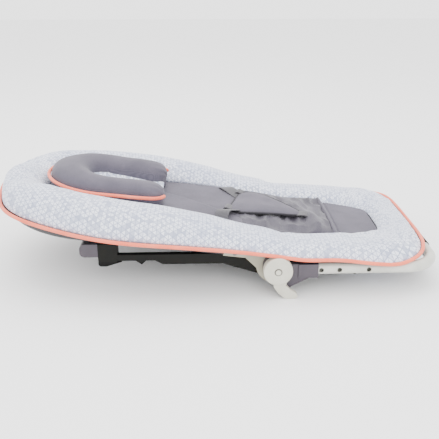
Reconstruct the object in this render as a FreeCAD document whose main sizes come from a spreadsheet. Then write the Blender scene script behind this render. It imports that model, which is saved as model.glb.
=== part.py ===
"""Folding baby bouncer seat, stored folded flat: a reclining backrest and a seat that share one
hub axis, a front leg hoop and a rear leg frame that fold up under them, and two release levers.

Frame: +X towards the foot end, +Y to the child's left, +Z up. The origin is under the middle of
the seat, level with the lowest point of the folded frame. Millimetres and degrees.
"""
import FreeCAD, Part
import math
import os
import re

import Sketcher

PARTS_DIR = "parts"
SIDES = (("left", 1), ("right", -1))

# alias: value of every driving dimension; a position is given in the seat's frame unless its
# name starts with back_, whose origin is the hub axis and whose X runs along the tilted back
DRIVING = {
    # hub
    "hub_x": 115, "hub_z": 56, "pin_radius": 6, "pin_clearance": 0.08, "plate_gap": 1,
    "washer_radius": 14, "pin_head_radius": 10, "pin_head_length": 4,
    "stack_inner": 150, "seat_plate": 12, "rear_plate": 12, "back_plate": 12,
    "socket_plate": 17, "lever_plate": 15,
    "seat_disc": 26, "rear_disc": 41, "back_disc": 38, "socket_disc": 26, "lever_disc": 27,
    # seat frame; an offset is measured outwards from the plates of the hub
    "frame_tube": 8, "frame_wall": 1.5, "fit_gap": 0.05, "soft_gap": 0.5, "tube_gap": 0.8,
    "seat_tube_start": 176, "seat_tube_tip": 372, "seat_tube_offset": 28,
    "seat_tube_corner": 95, "clamp_start": 170, "clamp_end": 206, "clamp_wall": 1.7,
    # back frame
    "back_tilt": 7, "back_tube_start": 64, "back_tube_tip": 516, "back_tube_offset": 14,
    "back_tube_corner": 150, "back_tube_z": 20, "back_socket_start": 62,
    "back_socket_end": 102, "back_socket_wall": 2.5, "rivet_radius": 4, "rivet_height": 1.5,
    # front leg
    "leg_tube": 11, "leg_wall": 1.5, "leg_start": 158, "leg_tip": 420, "leg_offset": 6,
    "leg_corner": 60, "leg_z": 51, "leg_hole": 4.6, "leg_hole_first": 197,
    "leg_hole_second": 231, "leg_hole_third": 286, "leg_rivet_x": 262, "leg_rivet_radius": 3.2,
    "socket_start": 154, "socket_end": 191, "socket_wall": 2.5, "wedge_toe_x": 138,
    "wedge_toe_z": 17, "wedge_rise_x": 177, "grip_wall": 2, "grip_inner": 55, "grip_outer": 105,
    # rear leg
    "arm_height": 20, "arm_bottom": 54, "arm_knee_x": 15, "arm_end_x": -182,
    "arm_thin": 12, "arm_thin_x": -98, "arm_slope": 14, "latch_x": -137, "latch_depth": 8,
    "corner_length": 36, "corner_top": 96, "corner_low": 60, "corner_round": 3,
    "corner_depth": 24, "bar_length": 34, "bar_low": 70, "bar_round": 10,
    "foot_depth": 9, "foot_sole": 15, "foot_reach": 44, "foot_round": 5,
    # levers
    "hook_length": 34, "hook_width": 16, "hook_thickness": 9, "hook_round": 2.4,
    "disc_round": 2.5, "lever_cap": 5.5, "cap_height": 1.5, "cap_round": 0.5,
    "spring_inner": 9, "spring_outer": 12, "spring_length": 5, "spring_gap": 0.5,
    "pin_reach": 5, "bore_rest": 2,
    # soft parts of the seat; a side, end or width is measured from the frame inside it
    "hip_start": 80, "hip_end": 150, "hip_height": 50, "hip_gap": 2, "hip_rest": 0.15, "hollow_overrun": 20,
    "ring_inner_margin": 43, "ring_inner_corner": 60,
    "seat_ring_side": 29, "seat_ring_end": 35, "seat_ring_corner": 115, "seat_end_width": 77,
    "seat_ring_height": 18, "seat_ring_dip": 3, "seat_ring_rise": 60, "seat_ring_toe": 9,
    "seat_pad_drop": 4, "seat_pad_height": 17, "sling_thickness": 2, "sling_margin": 3,
    "piping_radius": 3.5, "piping_drop": 4,
    # soft parts of the back
    "back_ring_side": 35, "back_ring_end": 23, "back_ring_corner": 165, "back_end_width": 73,
    "back_ring_low": 17, "back_ring_mid": 51, "back_ring_high": 64, "back_ring_step": 5,
    "back_ring_toe": 34, "back_ring_flat": 15, "back_pad_bottom": 14, "back_pad_top": 40,
    "pillow_start": 214, "pillow_gap": 3, "pillow_square": 8, "pillow_slot_half": 30,
    "pillow_slot_tip": 366, "pillow_height": 57, "pillow_round": 12,
    # harness
    "harness_start": 35, "harness_end": 176, "harness_wide": 66, "harness_narrow": 19,
    "harness_lean": 32, "harness_shoulder": 18, "harness_taper": 38, "harness_round": 7,
    "harness_thickness": 9, "harness_lift_back": 5, "harness_lift_front": 6,
    "strap_width": 25, "strap_thickness": 2, "strap_gap": 1, "crotch_strap_length": 24,
    "waist_strap_gap": 6, "waist_strap_length": 46, "waist_strap_x": 95,
}

doc = FreeCAD.newDocument("BouncerSeat")
sizes = doc.addObject("Spreadsheet::Sheet", "Sizes")
nodes = []


def fill_sheet():
    """Write every driving dimension into the sheet, one row each."""
    for row, (alias, number) in enumerate(DRIVING.items(), start=1):
        sizes.set(f"A{row}", alias)
        sizes.set(f"B{row}", str(number))
        sizes.setAlias(f"B{row}", alias)
    doc.recompute()


def bound(expression):
    """Give an expression written with plain aliases the sheet's name in front of each."""
    return re.sub(r"\b([a-z]+(?:_[a-z]+)+)\b", r"Sizes.\1", str(expression))


def value(expression):
    """Work an expression out from the sheet, as a plain number."""
    result = sizes.evalExpression(bound(expression))
    return float(getattr(result, "Value", result))


def is_formula(expression):
    return isinstance(expression, str) and re.search(r"[a-z]_[a-z]", expression) is not None


# --- document helpers -----------------------------------------------------------------------

def register(thing, label):
    """Name a finished sub-part and put it on the list of pieces to write."""
    thing.Label = label
    nodes.append(thing)
    return thing


def place(thing, x="0", y="0", z="0", turn=None):
    """Bind a sub-part's position to the sheet; turn is an axis and an angle."""
    base = FreeCAD.Vector(value(x), value(y), value(z))
    rotation = FreeCAD.Rotation()
    if turn is not None:
        rotation = FreeCAD.Rotation(turn[0], value(turn[1]))
    thing.Placement = FreeCAD.Placement(base, rotation)
    for axis, expression in zip("xyz", (x, y, z)):
        if is_formula(expression):
            thing.setExpression(f".Placement.Base.{axis}", bound(expression))
    if turn is not None and is_formula(turn[1]):
        thing.setExpression(".Placement.Rotation.Angle", f"({bound(turn[1])}) * 1 deg")
    return thing


def place_on_back(thing, y="0"):
    """Put a piece modelled in the backrest's own frame on the hub axis, tilted with the back."""
    return place(thing, "hub_x", y, "hub_z", (FreeCAD.Vector(0, 1, 0), "back_tilt"))


def new_body(name):
    return doc.addObject("PartDesign::Body", name)


def new_sketch(body, name, role, offset="0"):
    """A sketch on one of the body's own origin planes, shifted along that plane's normal."""
    sketch = body.newObject("Sketcher::SketchObject", name)
    plane = next(f for f in body.Origin.OriginFeatures if f.Role == role)
    sketch.AttachmentSupport = [(plane, "")]
    sketch.MapMode = "FlatFace"
    sketch.AttachmentOffset.Base.z = value(offset)
    if is_formula(offset):
        sketch.setExpression(".AttachmentOffset.Base.z", bound(offset))
    return sketch


def constrain(sketch, kind, *where_and_size):
    """Add a dimension whose last argument is an expression, bound to the sheet."""
    *where, expression = where_and_size
    index = sketch.addConstraint(Sketcher.Constraint(kind, *where, value(expression)))
    if is_formula(expression):
        sketch.setExpression(f"Constraints[{index}]", bound(expression))


def pin_point(sketch, geometry, point, x, y):
    """Hold one point of the sketch at a place measured from the sketch's origin."""
    constrain(sketch, "DistanceX", -1, 1, geometry, point, x)
    constrain(sketch, "DistanceY", -1, 1, geometry, point, y)


def draw_circle(sketch, x, y, radius):
    circle = Part.Circle(FreeCAD.Vector(value(x), value(y), 0), FreeCAD.Vector(0, 0, 1),
                         value(radius))
    index = sketch.addGeometry(circle)
    pin_point(sketch, index, 3, x, y)
    constrain(sketch, "Radius", index, radius)


def draw_polygon(sketch, points):
    """A closed outline of straight edges through (x, y) expressions."""
    places = [FreeCAD.Vector(value(x), value(y), 0) for x, y in points]
    count = len(places)
    first = None
    for i in range(count):
        index = sketch.addGeometry(Part.LineSegment(places[i], places[(i + 1) % count]))
        first = index if first is None else first
    for i in range(count):
        following = first + (i + 1) % count
        sketch.addConstraint(Sketcher.Constraint("Coincident", first + i, 2, following, 1))
        pin_point(sketch, first + i, 1, *points[i])


def draw_hoop(sketch, start, tip, half, corner, closed):
    """A U lying along X, open at start and rounded at tip; closed shuts it across the start."""
    x0, x1 = value(start), value(tip)
    wide, radius = value(half), value(corner)
    ahead = x1 > x0
    turn = x1 - radius if ahead else x1 + radius

    def point(x, y):
        return FreeCAD.Vector(x, y, 0)

    def bend(y, first, last):
        circle = Part.Circle(point(turn, y), FreeCAD.Vector(0, 0, 1), radius)
        return Part.ArcOfCircle(circle, math.radians(first), math.radians(last))

    low, high = -wide + radius, wide - radius
    pieces = [
        Part.LineSegment(point(x0, -wide), point(turn, -wide)),
        bend(low, -90, 0) if ahead else bend(low, 180, 270),
        Part.LineSegment(point(x1, low), point(x1, high)),
        bend(high, 0, 90) if ahead else bend(high, 90, 180),
        Part.LineSegment(point(turn, wide), point(x0, wide)),
    ]
    if closed:
        pieces.append(Part.LineSegment(point(x0, wide), point(x0, -wide)))
    leg, low_bend, bar, high_bend, back_leg, *rest = sketch.addGeometry(pieces)
    enter, leave = (1, 2) if ahead else (2, 1)
    for joint in ((leg, 2, low_bend, enter), (low_bend, leave, bar, 1),
                  (bar, 2, high_bend, enter), (high_bend, leave, back_leg, 1)):
        sketch.addConstraint(Sketcher.Constraint("Tangent", *joint))
    sketch.addConstraint(Sketcher.Constraint("Horizontal", leg))
    sketch.addConstraint(Sketcher.Constraint("Horizontal", back_leg))
    sketch.addConstraint(Sketcher.Constraint("Equal", low_bend, high_bend))
    constrain(sketch, "Radius", low_bend, corner)
    constrain(sketch, "DistanceX", -1, 1, bar, 1, tip)
    pin_point(sketch, leg, 1, start, f"-({half})")
    pin_point(sketch, back_leg, 2, start, half)
    if closed:
        sketch.addConstraint(Sketcher.Constraint("Coincident", back_leg, 2, rest[0], 1))
        sketch.addConstraint(Sketcher.Constraint("Coincident", rest[0], 2, leg, 1))


def pad(body, sketch, length, centred=False):
    """Grow a sketch into a solid, upwards or to both sides of its plane."""
    feature = body.newObject("PartDesign::Pad", f"{sketch.Name}_pad")
    feature.Profile = sketch
    feature.Length = value(length)
    if is_formula(length):
        feature.setExpression("Length", bound(length))
    if centred:
        feature.SideType = "Symmetric"
    doc.recompute()
    return feature


def pocket(body, sketch):
    """Cut a sketch right through the body, both ways, and make sure that it took something."""
    before = body.Shape.Volume
    feature = body.newObject("PartDesign::Pocket", f"{sketch.Name}_pocket")
    feature.Profile = sketch
    feature.SideType = "Symmetric"
    feature.Type = "ThroughAll"
    doc.recompute()
    if body.Shape.Volume >= before - 1e-3:
        raise RuntimeError(f"{feature.Name} cut nothing")
    return feature


def blind_pocket(body, sketch, depth):
    """Cut a sketch to a depth along its own normal, into whichever side holds the body."""
    before = body.Shape.Volume
    feature = body.newObject("PartDesign::Pocket", f"{sketch.Name}_pocket")
    feature.Profile = sketch
    feature.Length = value(depth)
    if is_formula(depth):
        feature.setExpression("Length", bound(depth))
    doc.recompute()
    if body.Shape.Volume >= before - 1e-3:
        feature.Reversed = True
        doc.recompute()
    if body.Shape.Volume >= before - 1e-3:
        raise RuntimeError(f"{feature.Name} cut nothing")
    return feature


def round_edges(body, radius, wanted):
    """Fillet the edges of the body's tip that wanted picks out."""
    tip = body.Tip
    names = [f"Edge{i}" for i, edge in enumerate(tip.Shape.Edges, start=1) if wanted(edge)]
    if not names:
        raise RuntimeError(f"{body.Name} has no edge to round")
    fillet = body.newObject("PartDesign::Fillet", f"{body.Name}_fillet")
    fillet.Base = (tip, names)
    fillet.Radius = value(radius)
    if is_formula(radius):
        fillet.setExpression("Radius", bound(radius))
    doc.recompute()
    if fillet.Shape.isNull() or not fillet.Shape.isValid():
        raise RuntimeError(f"{fillet.Name} failed")
    return fillet


def runs_along(edge, direction):
    """True for a straight edge along direction."""
    if edge.Curve.TypeId != "Part::GeomLine":
        return False
    return abs(abs(edge.Curve.Direction.dot(direction)) - 1) < 1e-6


def tube_body(name, start, tip, half, corner, radius, wall=None):
    """A U-shaped bar in the XY plane, hollow when it has a wall."""
    body = new_body(name)
    path = new_sketch(body, f"{name}_path", "XY_Plane")
    draw_hoop(path, start, tip, half, corner, closed=False)
    section = new_sketch(body, f"{name}_section", "YZ_Plane", start)
    draw_circle(section, f"-({half})", "0", radius)
    if wall is not None:
        draw_circle(section, f"-({half})", "0", f"({radius}) - ({wall})")
    doc.recompute()
    pipe = body.newObject("PartDesign::AdditivePipe", f"{name}_pipe")
    pipe.Profile = section
    pipe.Spine = (path, [f"Edge{i}" for i in range(1, 6)])
    doc.recompute()
    return body


def cylinder(name, radius, length):
    """A plain cylinder that stands on its own origin along +Z."""
    thing = doc.addObject("Part::Cylinder", name)
    for prop, expression in (("Radius", radius), ("Height", length)):
        setattr(thing, prop, value(expression))
        if is_formula(expression):
            thing.setExpression(prop, bound(expression))
    return thing


def along_y(thing, x, y, z, side):
    """Lay a cylinder along Y, growing outwards from |y| on the given side."""
    outward = "-90" if side > 0 else "90"
    return place(thing, x, f"{side} * ({y})", z, (FreeCAD.Vector(1, 0, 0), outward))


def join(name, label, things):
    fused = doc.addObject("Part::MultiFuse", name)
    fused.Shapes = things
    doc.recompute()
    return register(fused, label)


# --- where each plate of the hub lies, from the middle outwards -----------------------------

SEAT_IN = "stack_inner"
REAR_IN = f"({SEAT_IN} + seat_plate + plate_gap)"
BACK_IN = f"({REAR_IN} + rear_plate + plate_gap)"
SOCKET_IN = f"({BACK_IN} + back_plate + plate_gap)"
LEVER_IN = f"({SOCKET_IN} + socket_plate + plate_gap)"
LEVER_OUT = f"({LEVER_IN} + lever_plate)"
PIN_BORE = "pin_radius + pin_clearance"

# --- sizes and heights that follow from the hub stack and the frame ------------------------

SEAT_TUBE_HALF = "(stack_inner + seat_tube_offset)"
BACK_TUBE_HALF = f"({BACK_IN} + back_tube_offset)"
LEG_HALF = f"({SOCKET_IN} + leg_offset)"
SEAT_TUBE_Z = "(leg_z + leg_tube + socket_wall + tube_gap + clamp_wall + frame_tube)"
RING_INNER = "(stack_inner - ring_inner_margin)"
SEAT_RING_HALF = f"({SEAT_TUBE_HALF} + seat_ring_side)"
SEAT_RING_TIP = "(seat_tube_tip + seat_ring_end)"
SEAT_HOLLOW_TIP = f"({SEAT_RING_TIP} - seat_end_width)"
BACK_RING_HALF = f"({BACK_TUBE_HALF} + back_ring_side)"
BACK_RING_TIP = "(back_tube_tip + back_ring_end)"
BACK_HOLLOW_TIP = f"({BACK_RING_TIP} - back_end_width)"
HIP_TOP = "(hub_z + hip_height)"
HIP_EDGE = "(hip_start + sin(back_tilt) * hip_height + soft_gap)"
BACK_EDGE = "(hub_x - hip_start + soft_gap)"
SEAT_RING_LOW = f"({SEAT_TUBE_Z} + frame_tube + clamp_wall + soft_gap)"
BACK_RING_LOW = "(back_tube_z + frame_tube + back_socket_wall + soft_gap)"
SEAT_PAD_LOW = f"({SEAT_TUBE_Z} - seat_pad_drop)"
SEAT_PAD_TOP = f"({SEAT_PAD_LOW} + seat_pad_height)"
HIP_LOW = f"max(hub_z + seat_disc + hip_gap; {SEAT_TUBE_Z} + frame_tube + clamp_wall / 2 + hip_rest)"
SKY = "400"


def hub_plate(name, disc, thickness, outline):
    """A round hub plate with an arm, centred on its own XZ plane, before its bore."""
    body = new_body(name)
    arm = new_sketch(body, f"{name}_arm", "XZ_Plane")
    draw_polygon(arm, outline)
    pad(body, arm, thickness, centred=True)
    ring = new_sketch(body, f"{name}_disc", "XZ_Plane")
    draw_circle(ring, "0", "0", disc)
    pad(body, ring, thickness, centred=True)
    return body


def bore_hub(body, radius=PIN_BORE):
    bore = new_sketch(body, f"{body.Name}_bore", "XZ_Plane")
    draw_circle(bore, "0", "0", radius)
    pocket(body, bore)


def mid_plate(inner, thickness, side):
    return f"{side} * ({inner} + {thickness} / 2)"


# --- seat frame -----------------------------------------------------------------------------

def seat_tube():
    body = tube_body("SeatTube", "seat_tube_start", "seat_tube_tip", SEAT_TUBE_HALF,
                     "seat_tube_corner", "frame_tube", "frame_wall")
    place(body, z=SEAT_TUBE_Z)
    register(body, "seat_tube")


def seat_bracket(label, side):
    """Hub plate of the seat, with an arm that ends in a clamp round the seat tube."""
    name = f"SeatBracket{label.capitalize()}"
    level = f"({SEAT_TUBE_Z} - hub_z)"
    low = f"{level} - frame_tube - clamp_wall"
    high = f"{level} + frame_tube + clamp_wall / 2"
    mid = "stack_inner + seat_plate / 2"
    outline = [("0", "-seat_disc * 0.7"), ("clamp_end - hub_x", low),
               ("clamp_end - hub_x", high), ("clamp_start - hub_x", high),
               ("0", "seat_disc * 0.9")]
    body = hub_plate(name, "seat_disc", "seat_plate", outline)
    block = new_sketch(body, f"{name}_clamp", "YZ_Plane", "clamp_start - hub_x")
    inner = f"{side} * (-seat_plate / 2)"
    outer = f"{side} * ({SEAT_TUBE_HALF} + frame_tube + clamp_wall / 2 - ({mid}))"
    draw_polygon(block, [(inner, low), (outer, low), (outer, high), (inner, high)])
    pad(body, block, "clamp_end - clamp_start")
    tunnel = new_sketch(body, f"{name}_tunnel", "YZ_Plane", "seat_tube_start - hub_x")
    draw_circle(tunnel, f"{side} * ({SEAT_TUBE_HALF} - ({mid}))", level,
                "frame_tube + fit_gap")
    feature = body.newObject("PartDesign::Pocket", f"{name}_tunnel_pocket")
    feature.Profile = tunnel
    feature.Type = "ThroughAll"
    feature.Reversed = True
    doc.recompute()
    bore_hub(body, "pin_radius + fit_gap")
    place(body, "hub_x", mid_plate(SEAT_IN, "seat_plate", side), "hub_z")
    register(body, f"seat_bracket_{label}")


def hub_pin(label, side):
    """The pin that every hub plate turns on, with a flat head against the seat bracket."""
    shank = cylinder(f"PinShank{label}", "pin_radius",
                     f"{LEVER_IN} + pin_reach - stack_inner + pin_head_length")
    along_y(shank, "hub_x", "stack_inner - pin_head_length", "hub_z", side)
    head = cylinder(f"PinHead{label}", "pin_head_radius", "pin_head_length")
    along_y(head, "hub_x", "stack_inner - pin_head_length", "hub_z", side)
    join(f"HubPin{label}", f"hub_pin_{label}", [shank, head])


def hub_washer(label, side, index, start):
    """A thin ring that keeps two hub plates apart."""
    name = f"Washer{index}{label}"
    disc = cylinder(f"{name}Disc", "washer_radius", "plate_gap")
    along_y(disc, "hub_x", start, "hub_z", side)
    hole = cylinder(f"{name}Hole", PIN_BORE, "plate_gap")
    along_y(hole, "hub_x", start, "hub_z", side)
    ring = doc.addObject("Part::Cut", name)
    ring.Base = disc
    ring.Tool = hole
    return ring


def hub_washers(label, side):
    starts = (f"{SEAT_IN} + seat_plate", f"{REAR_IN} + rear_plate", f"{BACK_IN} + back_plate")
    rings = [hub_washer(label, side, i, start) for i, start in enumerate(starts)]
    pack = doc.addObject("Part::Compound", f"Washers{label}")
    pack.Links = rings
    doc.recompute()
    register(pack, f"hub_washers_{label}")


# --- backrest frame -------------------------------------------------------------------------

def backrest_tube():
    body = tube_body("BackTube", "-back_tube_start", "-back_tube_tip", BACK_TUBE_HALF,
                     "back_tube_corner", "frame_tube", "frame_wall")
    doc.recompute()
    place_on_back(body)
    lift = FreeCAD.Placement(FreeCAD.Vector(0, 0, value("back_tube_z")), FreeCAD.Rotation())
    body.Placement = body.Placement.multiply(lift)
    body.setExpression(".Placement.Base.x", bound("hub_x + sin(back_tilt) * back_tube_z"))
    body.setExpression(".Placement.Base.z", bound("hub_z + cos(back_tilt) * back_tube_z"))
    register(body, "backrest_tube")


def backrest_bracket(label, side):
    """Hub plate of the backrest, with an arm that ends in a socket for the back tube."""
    name = f"BackBracket{label.capitalize()}"
    reach = "(frame_tube + back_socket_wall)"
    outline = [("-back_disc * 0.4", f"back_tube_z + {reach} - 2"),
               ("-back_socket_start", f"back_tube_z + {reach}"),
               ("-back_socket_end", f"back_tube_z + {reach}"),
               ("-back_socket_end", f"back_tube_z - {reach}"),
               ("-back_socket_start", f"back_tube_z - {reach}"),
               ("-back_disc * 0.8", "-back_disc * 0.4")]
    body = hub_plate(name, "back_disc", "back_plate", outline)
    centre = f"{side} * ({BACK_TUBE_HALF} - {BACK_IN} - back_plate / 2)"
    sleeve = new_sketch(body, f"{name}_sleeve", "YZ_Plane", "-back_socket_end")
    draw_circle(sleeve, centre, "back_tube_z", reach)
    pad(body, sleeve, "back_socket_end - back_socket_start")
    tunnel = new_sketch(body, f"{name}_tunnel", "YZ_Plane", "-back_tube_start")
    draw_circle(tunnel, centre, "back_tube_z", "frame_tube + fit_gap")
    feature = body.newObject("PartDesign::Pocket", f"{name}_tunnel_pocket")
    feature.Profile = tunnel
    feature.Type = "ThroughAll"
    doc.recompute()
    bore_hub(body)
    place_on_back(body, mid_plate(BACK_IN, "back_plate", side))
    register(body, f"backrest_bracket_{label}")


def backrest_rivets():
    """One flat rivet head on the outside of each back socket."""
    heads = []
    along = "(back_socket_start + back_socket_end) / 2"
    for label, side in SIDES:
        head = cylinder(f"Rivet{label}", "rivet_radius", "rivet_height + 0.5 * back_socket_wall")
        along_y(head, f"hub_x - cos(back_tilt) * {along} + sin(back_tilt) * back_tube_z",
                f"{BACK_TUBE_HALF} + frame_tube + fit_gap + 0.5 * back_socket_wall",
                f"hub_z + sin(back_tilt) * {along} + cos(back_tilt) * back_tube_z", side)
        heads.append(head)
    return heads


# --- front leg ------------------------------------------------------------------------------

def front_leg_tube():
    """The hoop that the foot end stands on, with its row of cross holes."""
    body = tube_body("LegTube", "leg_start", "leg_tip", LEG_HALF, "leg_corner",
                     "leg_tube", "leg_wall")
    holes = new_sketch(body, "LegTube_holes", "XZ_Plane")
    for place_x in ("leg_hole_first", "leg_hole_second", "leg_hole_third"):
        draw_circle(holes, place_x, "0", "leg_hole")
    pocket(body, holes)
    place(body, z="leg_z")
    register(body, "front_leg_tube")


def leg_socket(label, side):
    """Wedge-shaped arm from the hub that holds one end of the front leg hoop."""
    name = f"LegSocket{label.capitalize()}"
    top = "leg_z - hub_z + leg_tube + socket_wall"
    low = "leg_z - hub_z - leg_tube - socket_wall"
    toe = ("wedge_toe_x - hub_x", "wedge_toe_z - hub_z")
    outline = [("-socket_disc * 0.5", "-socket_disc * 0.7"), toe,
               ("wedge_rise_x - hub_x", low), ("socket_end - hub_x", low),
               ("socket_end - hub_x", top), ("0", top)]
    body = hub_plate(name, "socket_disc", "socket_plate", outline)
    centre = f"{side} * ({LEG_HALF} - {SOCKET_IN} - socket_plate / 2)"
    reach = "(leg_tube + socket_wall)"
    block = new_sketch(body, f"{name}_collar", "YZ_Plane", "socket_start - hub_x")
    draw_polygon(block, [(f"{centre} - {reach}", low), (f"{centre} + {reach}", low),
                         (f"{centre} + {reach}", top), (f"{centre} - {reach}", top)])
    pad(body, block, "socket_end - socket_start")
    tunnel = new_sketch(body, f"{name}_tunnel", "YZ_Plane", "leg_start - hub_x")
    draw_circle(tunnel, centre, "leg_z - hub_z", "leg_tube + fit_gap")
    feature = body.newObject("PartDesign::Pocket", f"{name}_tunnel_pocket")
    feature.Profile = tunnel
    feature.Type = "ThroughAll"
    feature.Reversed = True
    doc.recompute()
    bore_hub(body)
    place(body, "hub_x", mid_plate(SOCKET_IN, "socket_plate", side), "hub_z")
    register(body, f"leg_socket_{label}")


def leg_rivets():
    """A dark stop pin under each side of the hoop."""
    pins = []
    for label, side in SIDES:
        stud = cylinder(f"LegRivet{label}", "leg_rivet_radius", "rivet_height + leg_wall")
        place(stud, "leg_rivet_x", f"{side} * {LEG_HALF}", "leg_z - leg_tube - rivet_height")
        pins.append(stud)
    return pins


def foot_grip(label, side):
    """Rubber sleeve on the crossbar of the front hoop."""
    outside = cylinder(f"GripOut{label}", "leg_tube + grip_wall", "grip_outer - grip_inner")
    inside = cylinder(f"GripIn{label}", "leg_tube + fit_gap", "grip_outer - grip_inner")
    for thing in (outside, inside):
        along_y(thing, "leg_tip", "grip_inner", "leg_z", side)
    sleeve = doc.addObject("Part::Cut", f"Grip{label}")
    sleeve.Base = outside
    sleeve.Tool = inside
    doc.recompute()
    register(sleeve, f"front_foot_grip_{label}")


# --- rear leg -------------------------------------------------------------------------------

def rear_arm(label, side):
    """Flat moulded arm from the hub to the rear crossbar, with a small latch tooth below."""
    name = f"RearArm{label.capitalize()}"
    top = "arm_bottom + arm_height - hub_z"
    low = "arm_bottom - hub_z"
    thin = f"{top} - arm_thin"
    root = "-rear_disc * 0.35"
    outline = [(root, "-rear_disc * 0.72"), (root, "rear_disc * 0.9"),
               ("arm_knee_x - hub_x + rear_disc * 0.4", top), ("arm_end_x - hub_x", top),
               ("arm_end_x - hub_x", thin), ("latch_x - hub_x - 1.4 * latch_depth", thin),
               ("latch_x - hub_x", f"{thin} - latch_depth"),
               ("latch_x - hub_x + latch_depth", thin),
               ("arm_thin_x - arm_slope - hub_x", thin), ("arm_thin_x - hub_x", low),
               ("arm_knee_x - hub_x", low)]
    body = hub_plate(name, "rear_disc", "rear_plate", outline)
    bore_hub(body)
    place(body, "hub_x", mid_plate(REAR_IN, "rear_plate", side), "hub_z")
    register(body, f"rear_arm_{label}")


def rear_corner(label, side):
    """Corner block that ties an arm to the crossbar."""
    block = doc.addObject("Part::Box", f"RearCorner{label}")
    for prop, expression in (("Length", "corner_length"), ("Width", "corner_depth"),
                             ("Height", "corner_top - corner_low")):
        setattr(block, prop, value(expression))
        block.setExpression(prop, bound(expression))
    outer = f"({REAR_IN} + rear_plate)"
    y = f"{outer} - corner_depth" if side > 0 else f"-{outer}"
    place(block, "arm_end_x - corner_length", y, "corner_low")
    rounded = doc.addObject("Part::Fillet", f"RearCornerRound{label}")
    rounded.Base = block
    doc.recompute()
    radius = value("corner_round")
    rounded.Edges = [(i, radius, radius) for i, edge in enumerate(block.Shape.Edges, start=1)
                     if runs_along(edge, FreeCAD.Vector(0, 1, 0))]
    doc.recompute()
    register(rounded, f"rear_corner_{label}")


def rear_crossbar():
    """Bar across the head end of the rear leg, rounded where it meets the floor."""
    body = new_body("RearBar")
    section = new_sketch(body, "RearBar_section", "XZ_Plane")
    front = "arm_end_x - corner_length - fit_gap"
    rear = f"{front} - bar_length"
    draw_polygon(section, [(rear, "bar_low"), (front, "bar_low"), (front, "corner_top"),
                           (rear, "corner_top")])
    pad(body, section, f"2 * ({REAR_IN} + rear_plate)", centred=True)
    y_axis = FreeCAD.Vector(0, 1, 0)
    limit = value(f"{front} - bar_round")
    round_edges(body, "bar_round", lambda edge: runs_along(edge, y_axis)
                and edge.Vertexes[0].X < limit)
    register(body, "rear_crossbar")


def rear_foot(label, side):
    """Rubber foot with a rounded sole under each rear corner."""
    body = new_body(f"RearFoot{label}")
    section = new_sketch(body, f"RearFoot{label}_section", "XZ_Plane")
    start = "arm_end_x - corner_length"
    draw_polygon(section, [(start, "corner_low"), (start, "corner_low - foot_depth"),
                           (f"{start} + foot_sole", "corner_low - foot_depth"),
                           (f"{start} + foot_reach", "corner_low")])
    pad(body, section, "corner_depth", centred=True)
    limit = value("corner_low - foot_depth / 2")
    round_edges(body, "foot_round", lambda edge: runs_along(edge, FreeCAD.Vector(0, 1, 0))
                and edge.Vertexes[0].Z < limit)
    place(body, y=f"{side} * ({REAR_IN} + rear_plate - corner_depth / 2)")
    register(body, f"rear_foot_{label}")


# --- release levers -------------------------------------------------------------------------

def lever(label, side):
    """Round hub cover with a hooked thumb lever below it, made in one piece."""
    name = f"Lever{label.capitalize()}"
    low = "-hub_z"
    outline = [("-lever_disc * 0.33", "-lever_disc * 0.75"), ("-lever_disc * 0.26", f"{low} + 24"),
               ("hook_length - 33", f"{low} + 12"), ("hook_length - 23", f"{low} + 3"),
               ("hook_length - hook_width", low), ("hook_length", low),
               ("hook_length + 4", f"{low} + 5"), ("hook_length + 1", f"{low} + 11"),
               ("hook_length - 10", f"{low} + 18"), ("hook_width - 1", f"{low} + 27"),
               ("lever_disc * 0.67", "-lever_disc * 0.6")]
    body = new_body(name)
    hook = new_sketch(body, f"{name}_hook", "XZ_Plane")
    draw_polygon(hook, outline)
    pad(body, hook, "hook_thickness", centred=True)
    y_axis = FreeCAD.Vector(0, 1, 0)
    free_end = value("-hub_z + 20")
    round_edges(body, "hook_round", lambda edge: runs_along(edge, y_axis)
                and edge.Vertexes[0].X > 0 and edge.Vertexes[0].Z < free_end)
    disc = new_sketch(body, f"{name}_disc", "XZ_Plane")
    draw_circle(disc, "0", "0", "lever_disc")
    pad(body, disc, "lever_plate", centred=True)
    face_y, rim = side * value("lever_plate") / 2, value("lever_disc") - 1
    round_edges(body, "disc_round", lambda edge: edge.Curve.TypeId == "Part::GeomCircle"
                and edge.Curve.Radius > rim and abs(edge.CenterOfMass.y - face_y) < 0.5)
    cavity = new_sketch(body, f"{name}_cavity", "XZ_Plane", f"{side} * lever_plate / 2")
    draw_circle(cavity, "0", "0", "spring_outer + spring_gap")
    blind_pocket(body, cavity, "spring_length + spring_gap")
    bore = new_sketch(body, f"{name}_bore", "XZ_Plane", f"{side} * lever_plate / 2")
    draw_circle(bore, "0", "0", PIN_BORE)
    blind_pocket(body, bore, "spring_length + spring_gap + bore_rest")
    place(body, "hub_x", mid_plate(LEVER_IN, "lever_plate", side), "hub_z")
    register(body, f"lever_{label}")


def lever_cap(label, side):
    cap = cylinder(f"LeverCap{label}", "lever_cap", "cap_height")
    along_y(cap, "hub_x", LEVER_OUT, "hub_z", side)
    rim = doc.addObject("Part::Chamfer", f"LeverCapRim{label}")
    rim.Base = cap
    doc.recompute()
    size, outside = value("cap_round"), value(f"{LEVER_OUT} + cap_height / 2")
    rim.Edges = [(i, size, size) for i, edge in enumerate(cap.Shape.Edges, start=1)
                 if edge.Curve.TypeId == "Part::GeomCircle"
                 and abs(edge.CenterOfMass.y) > outside]
    doc.recompute()
    register(rim, f"lever_cap_{label}")


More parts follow.
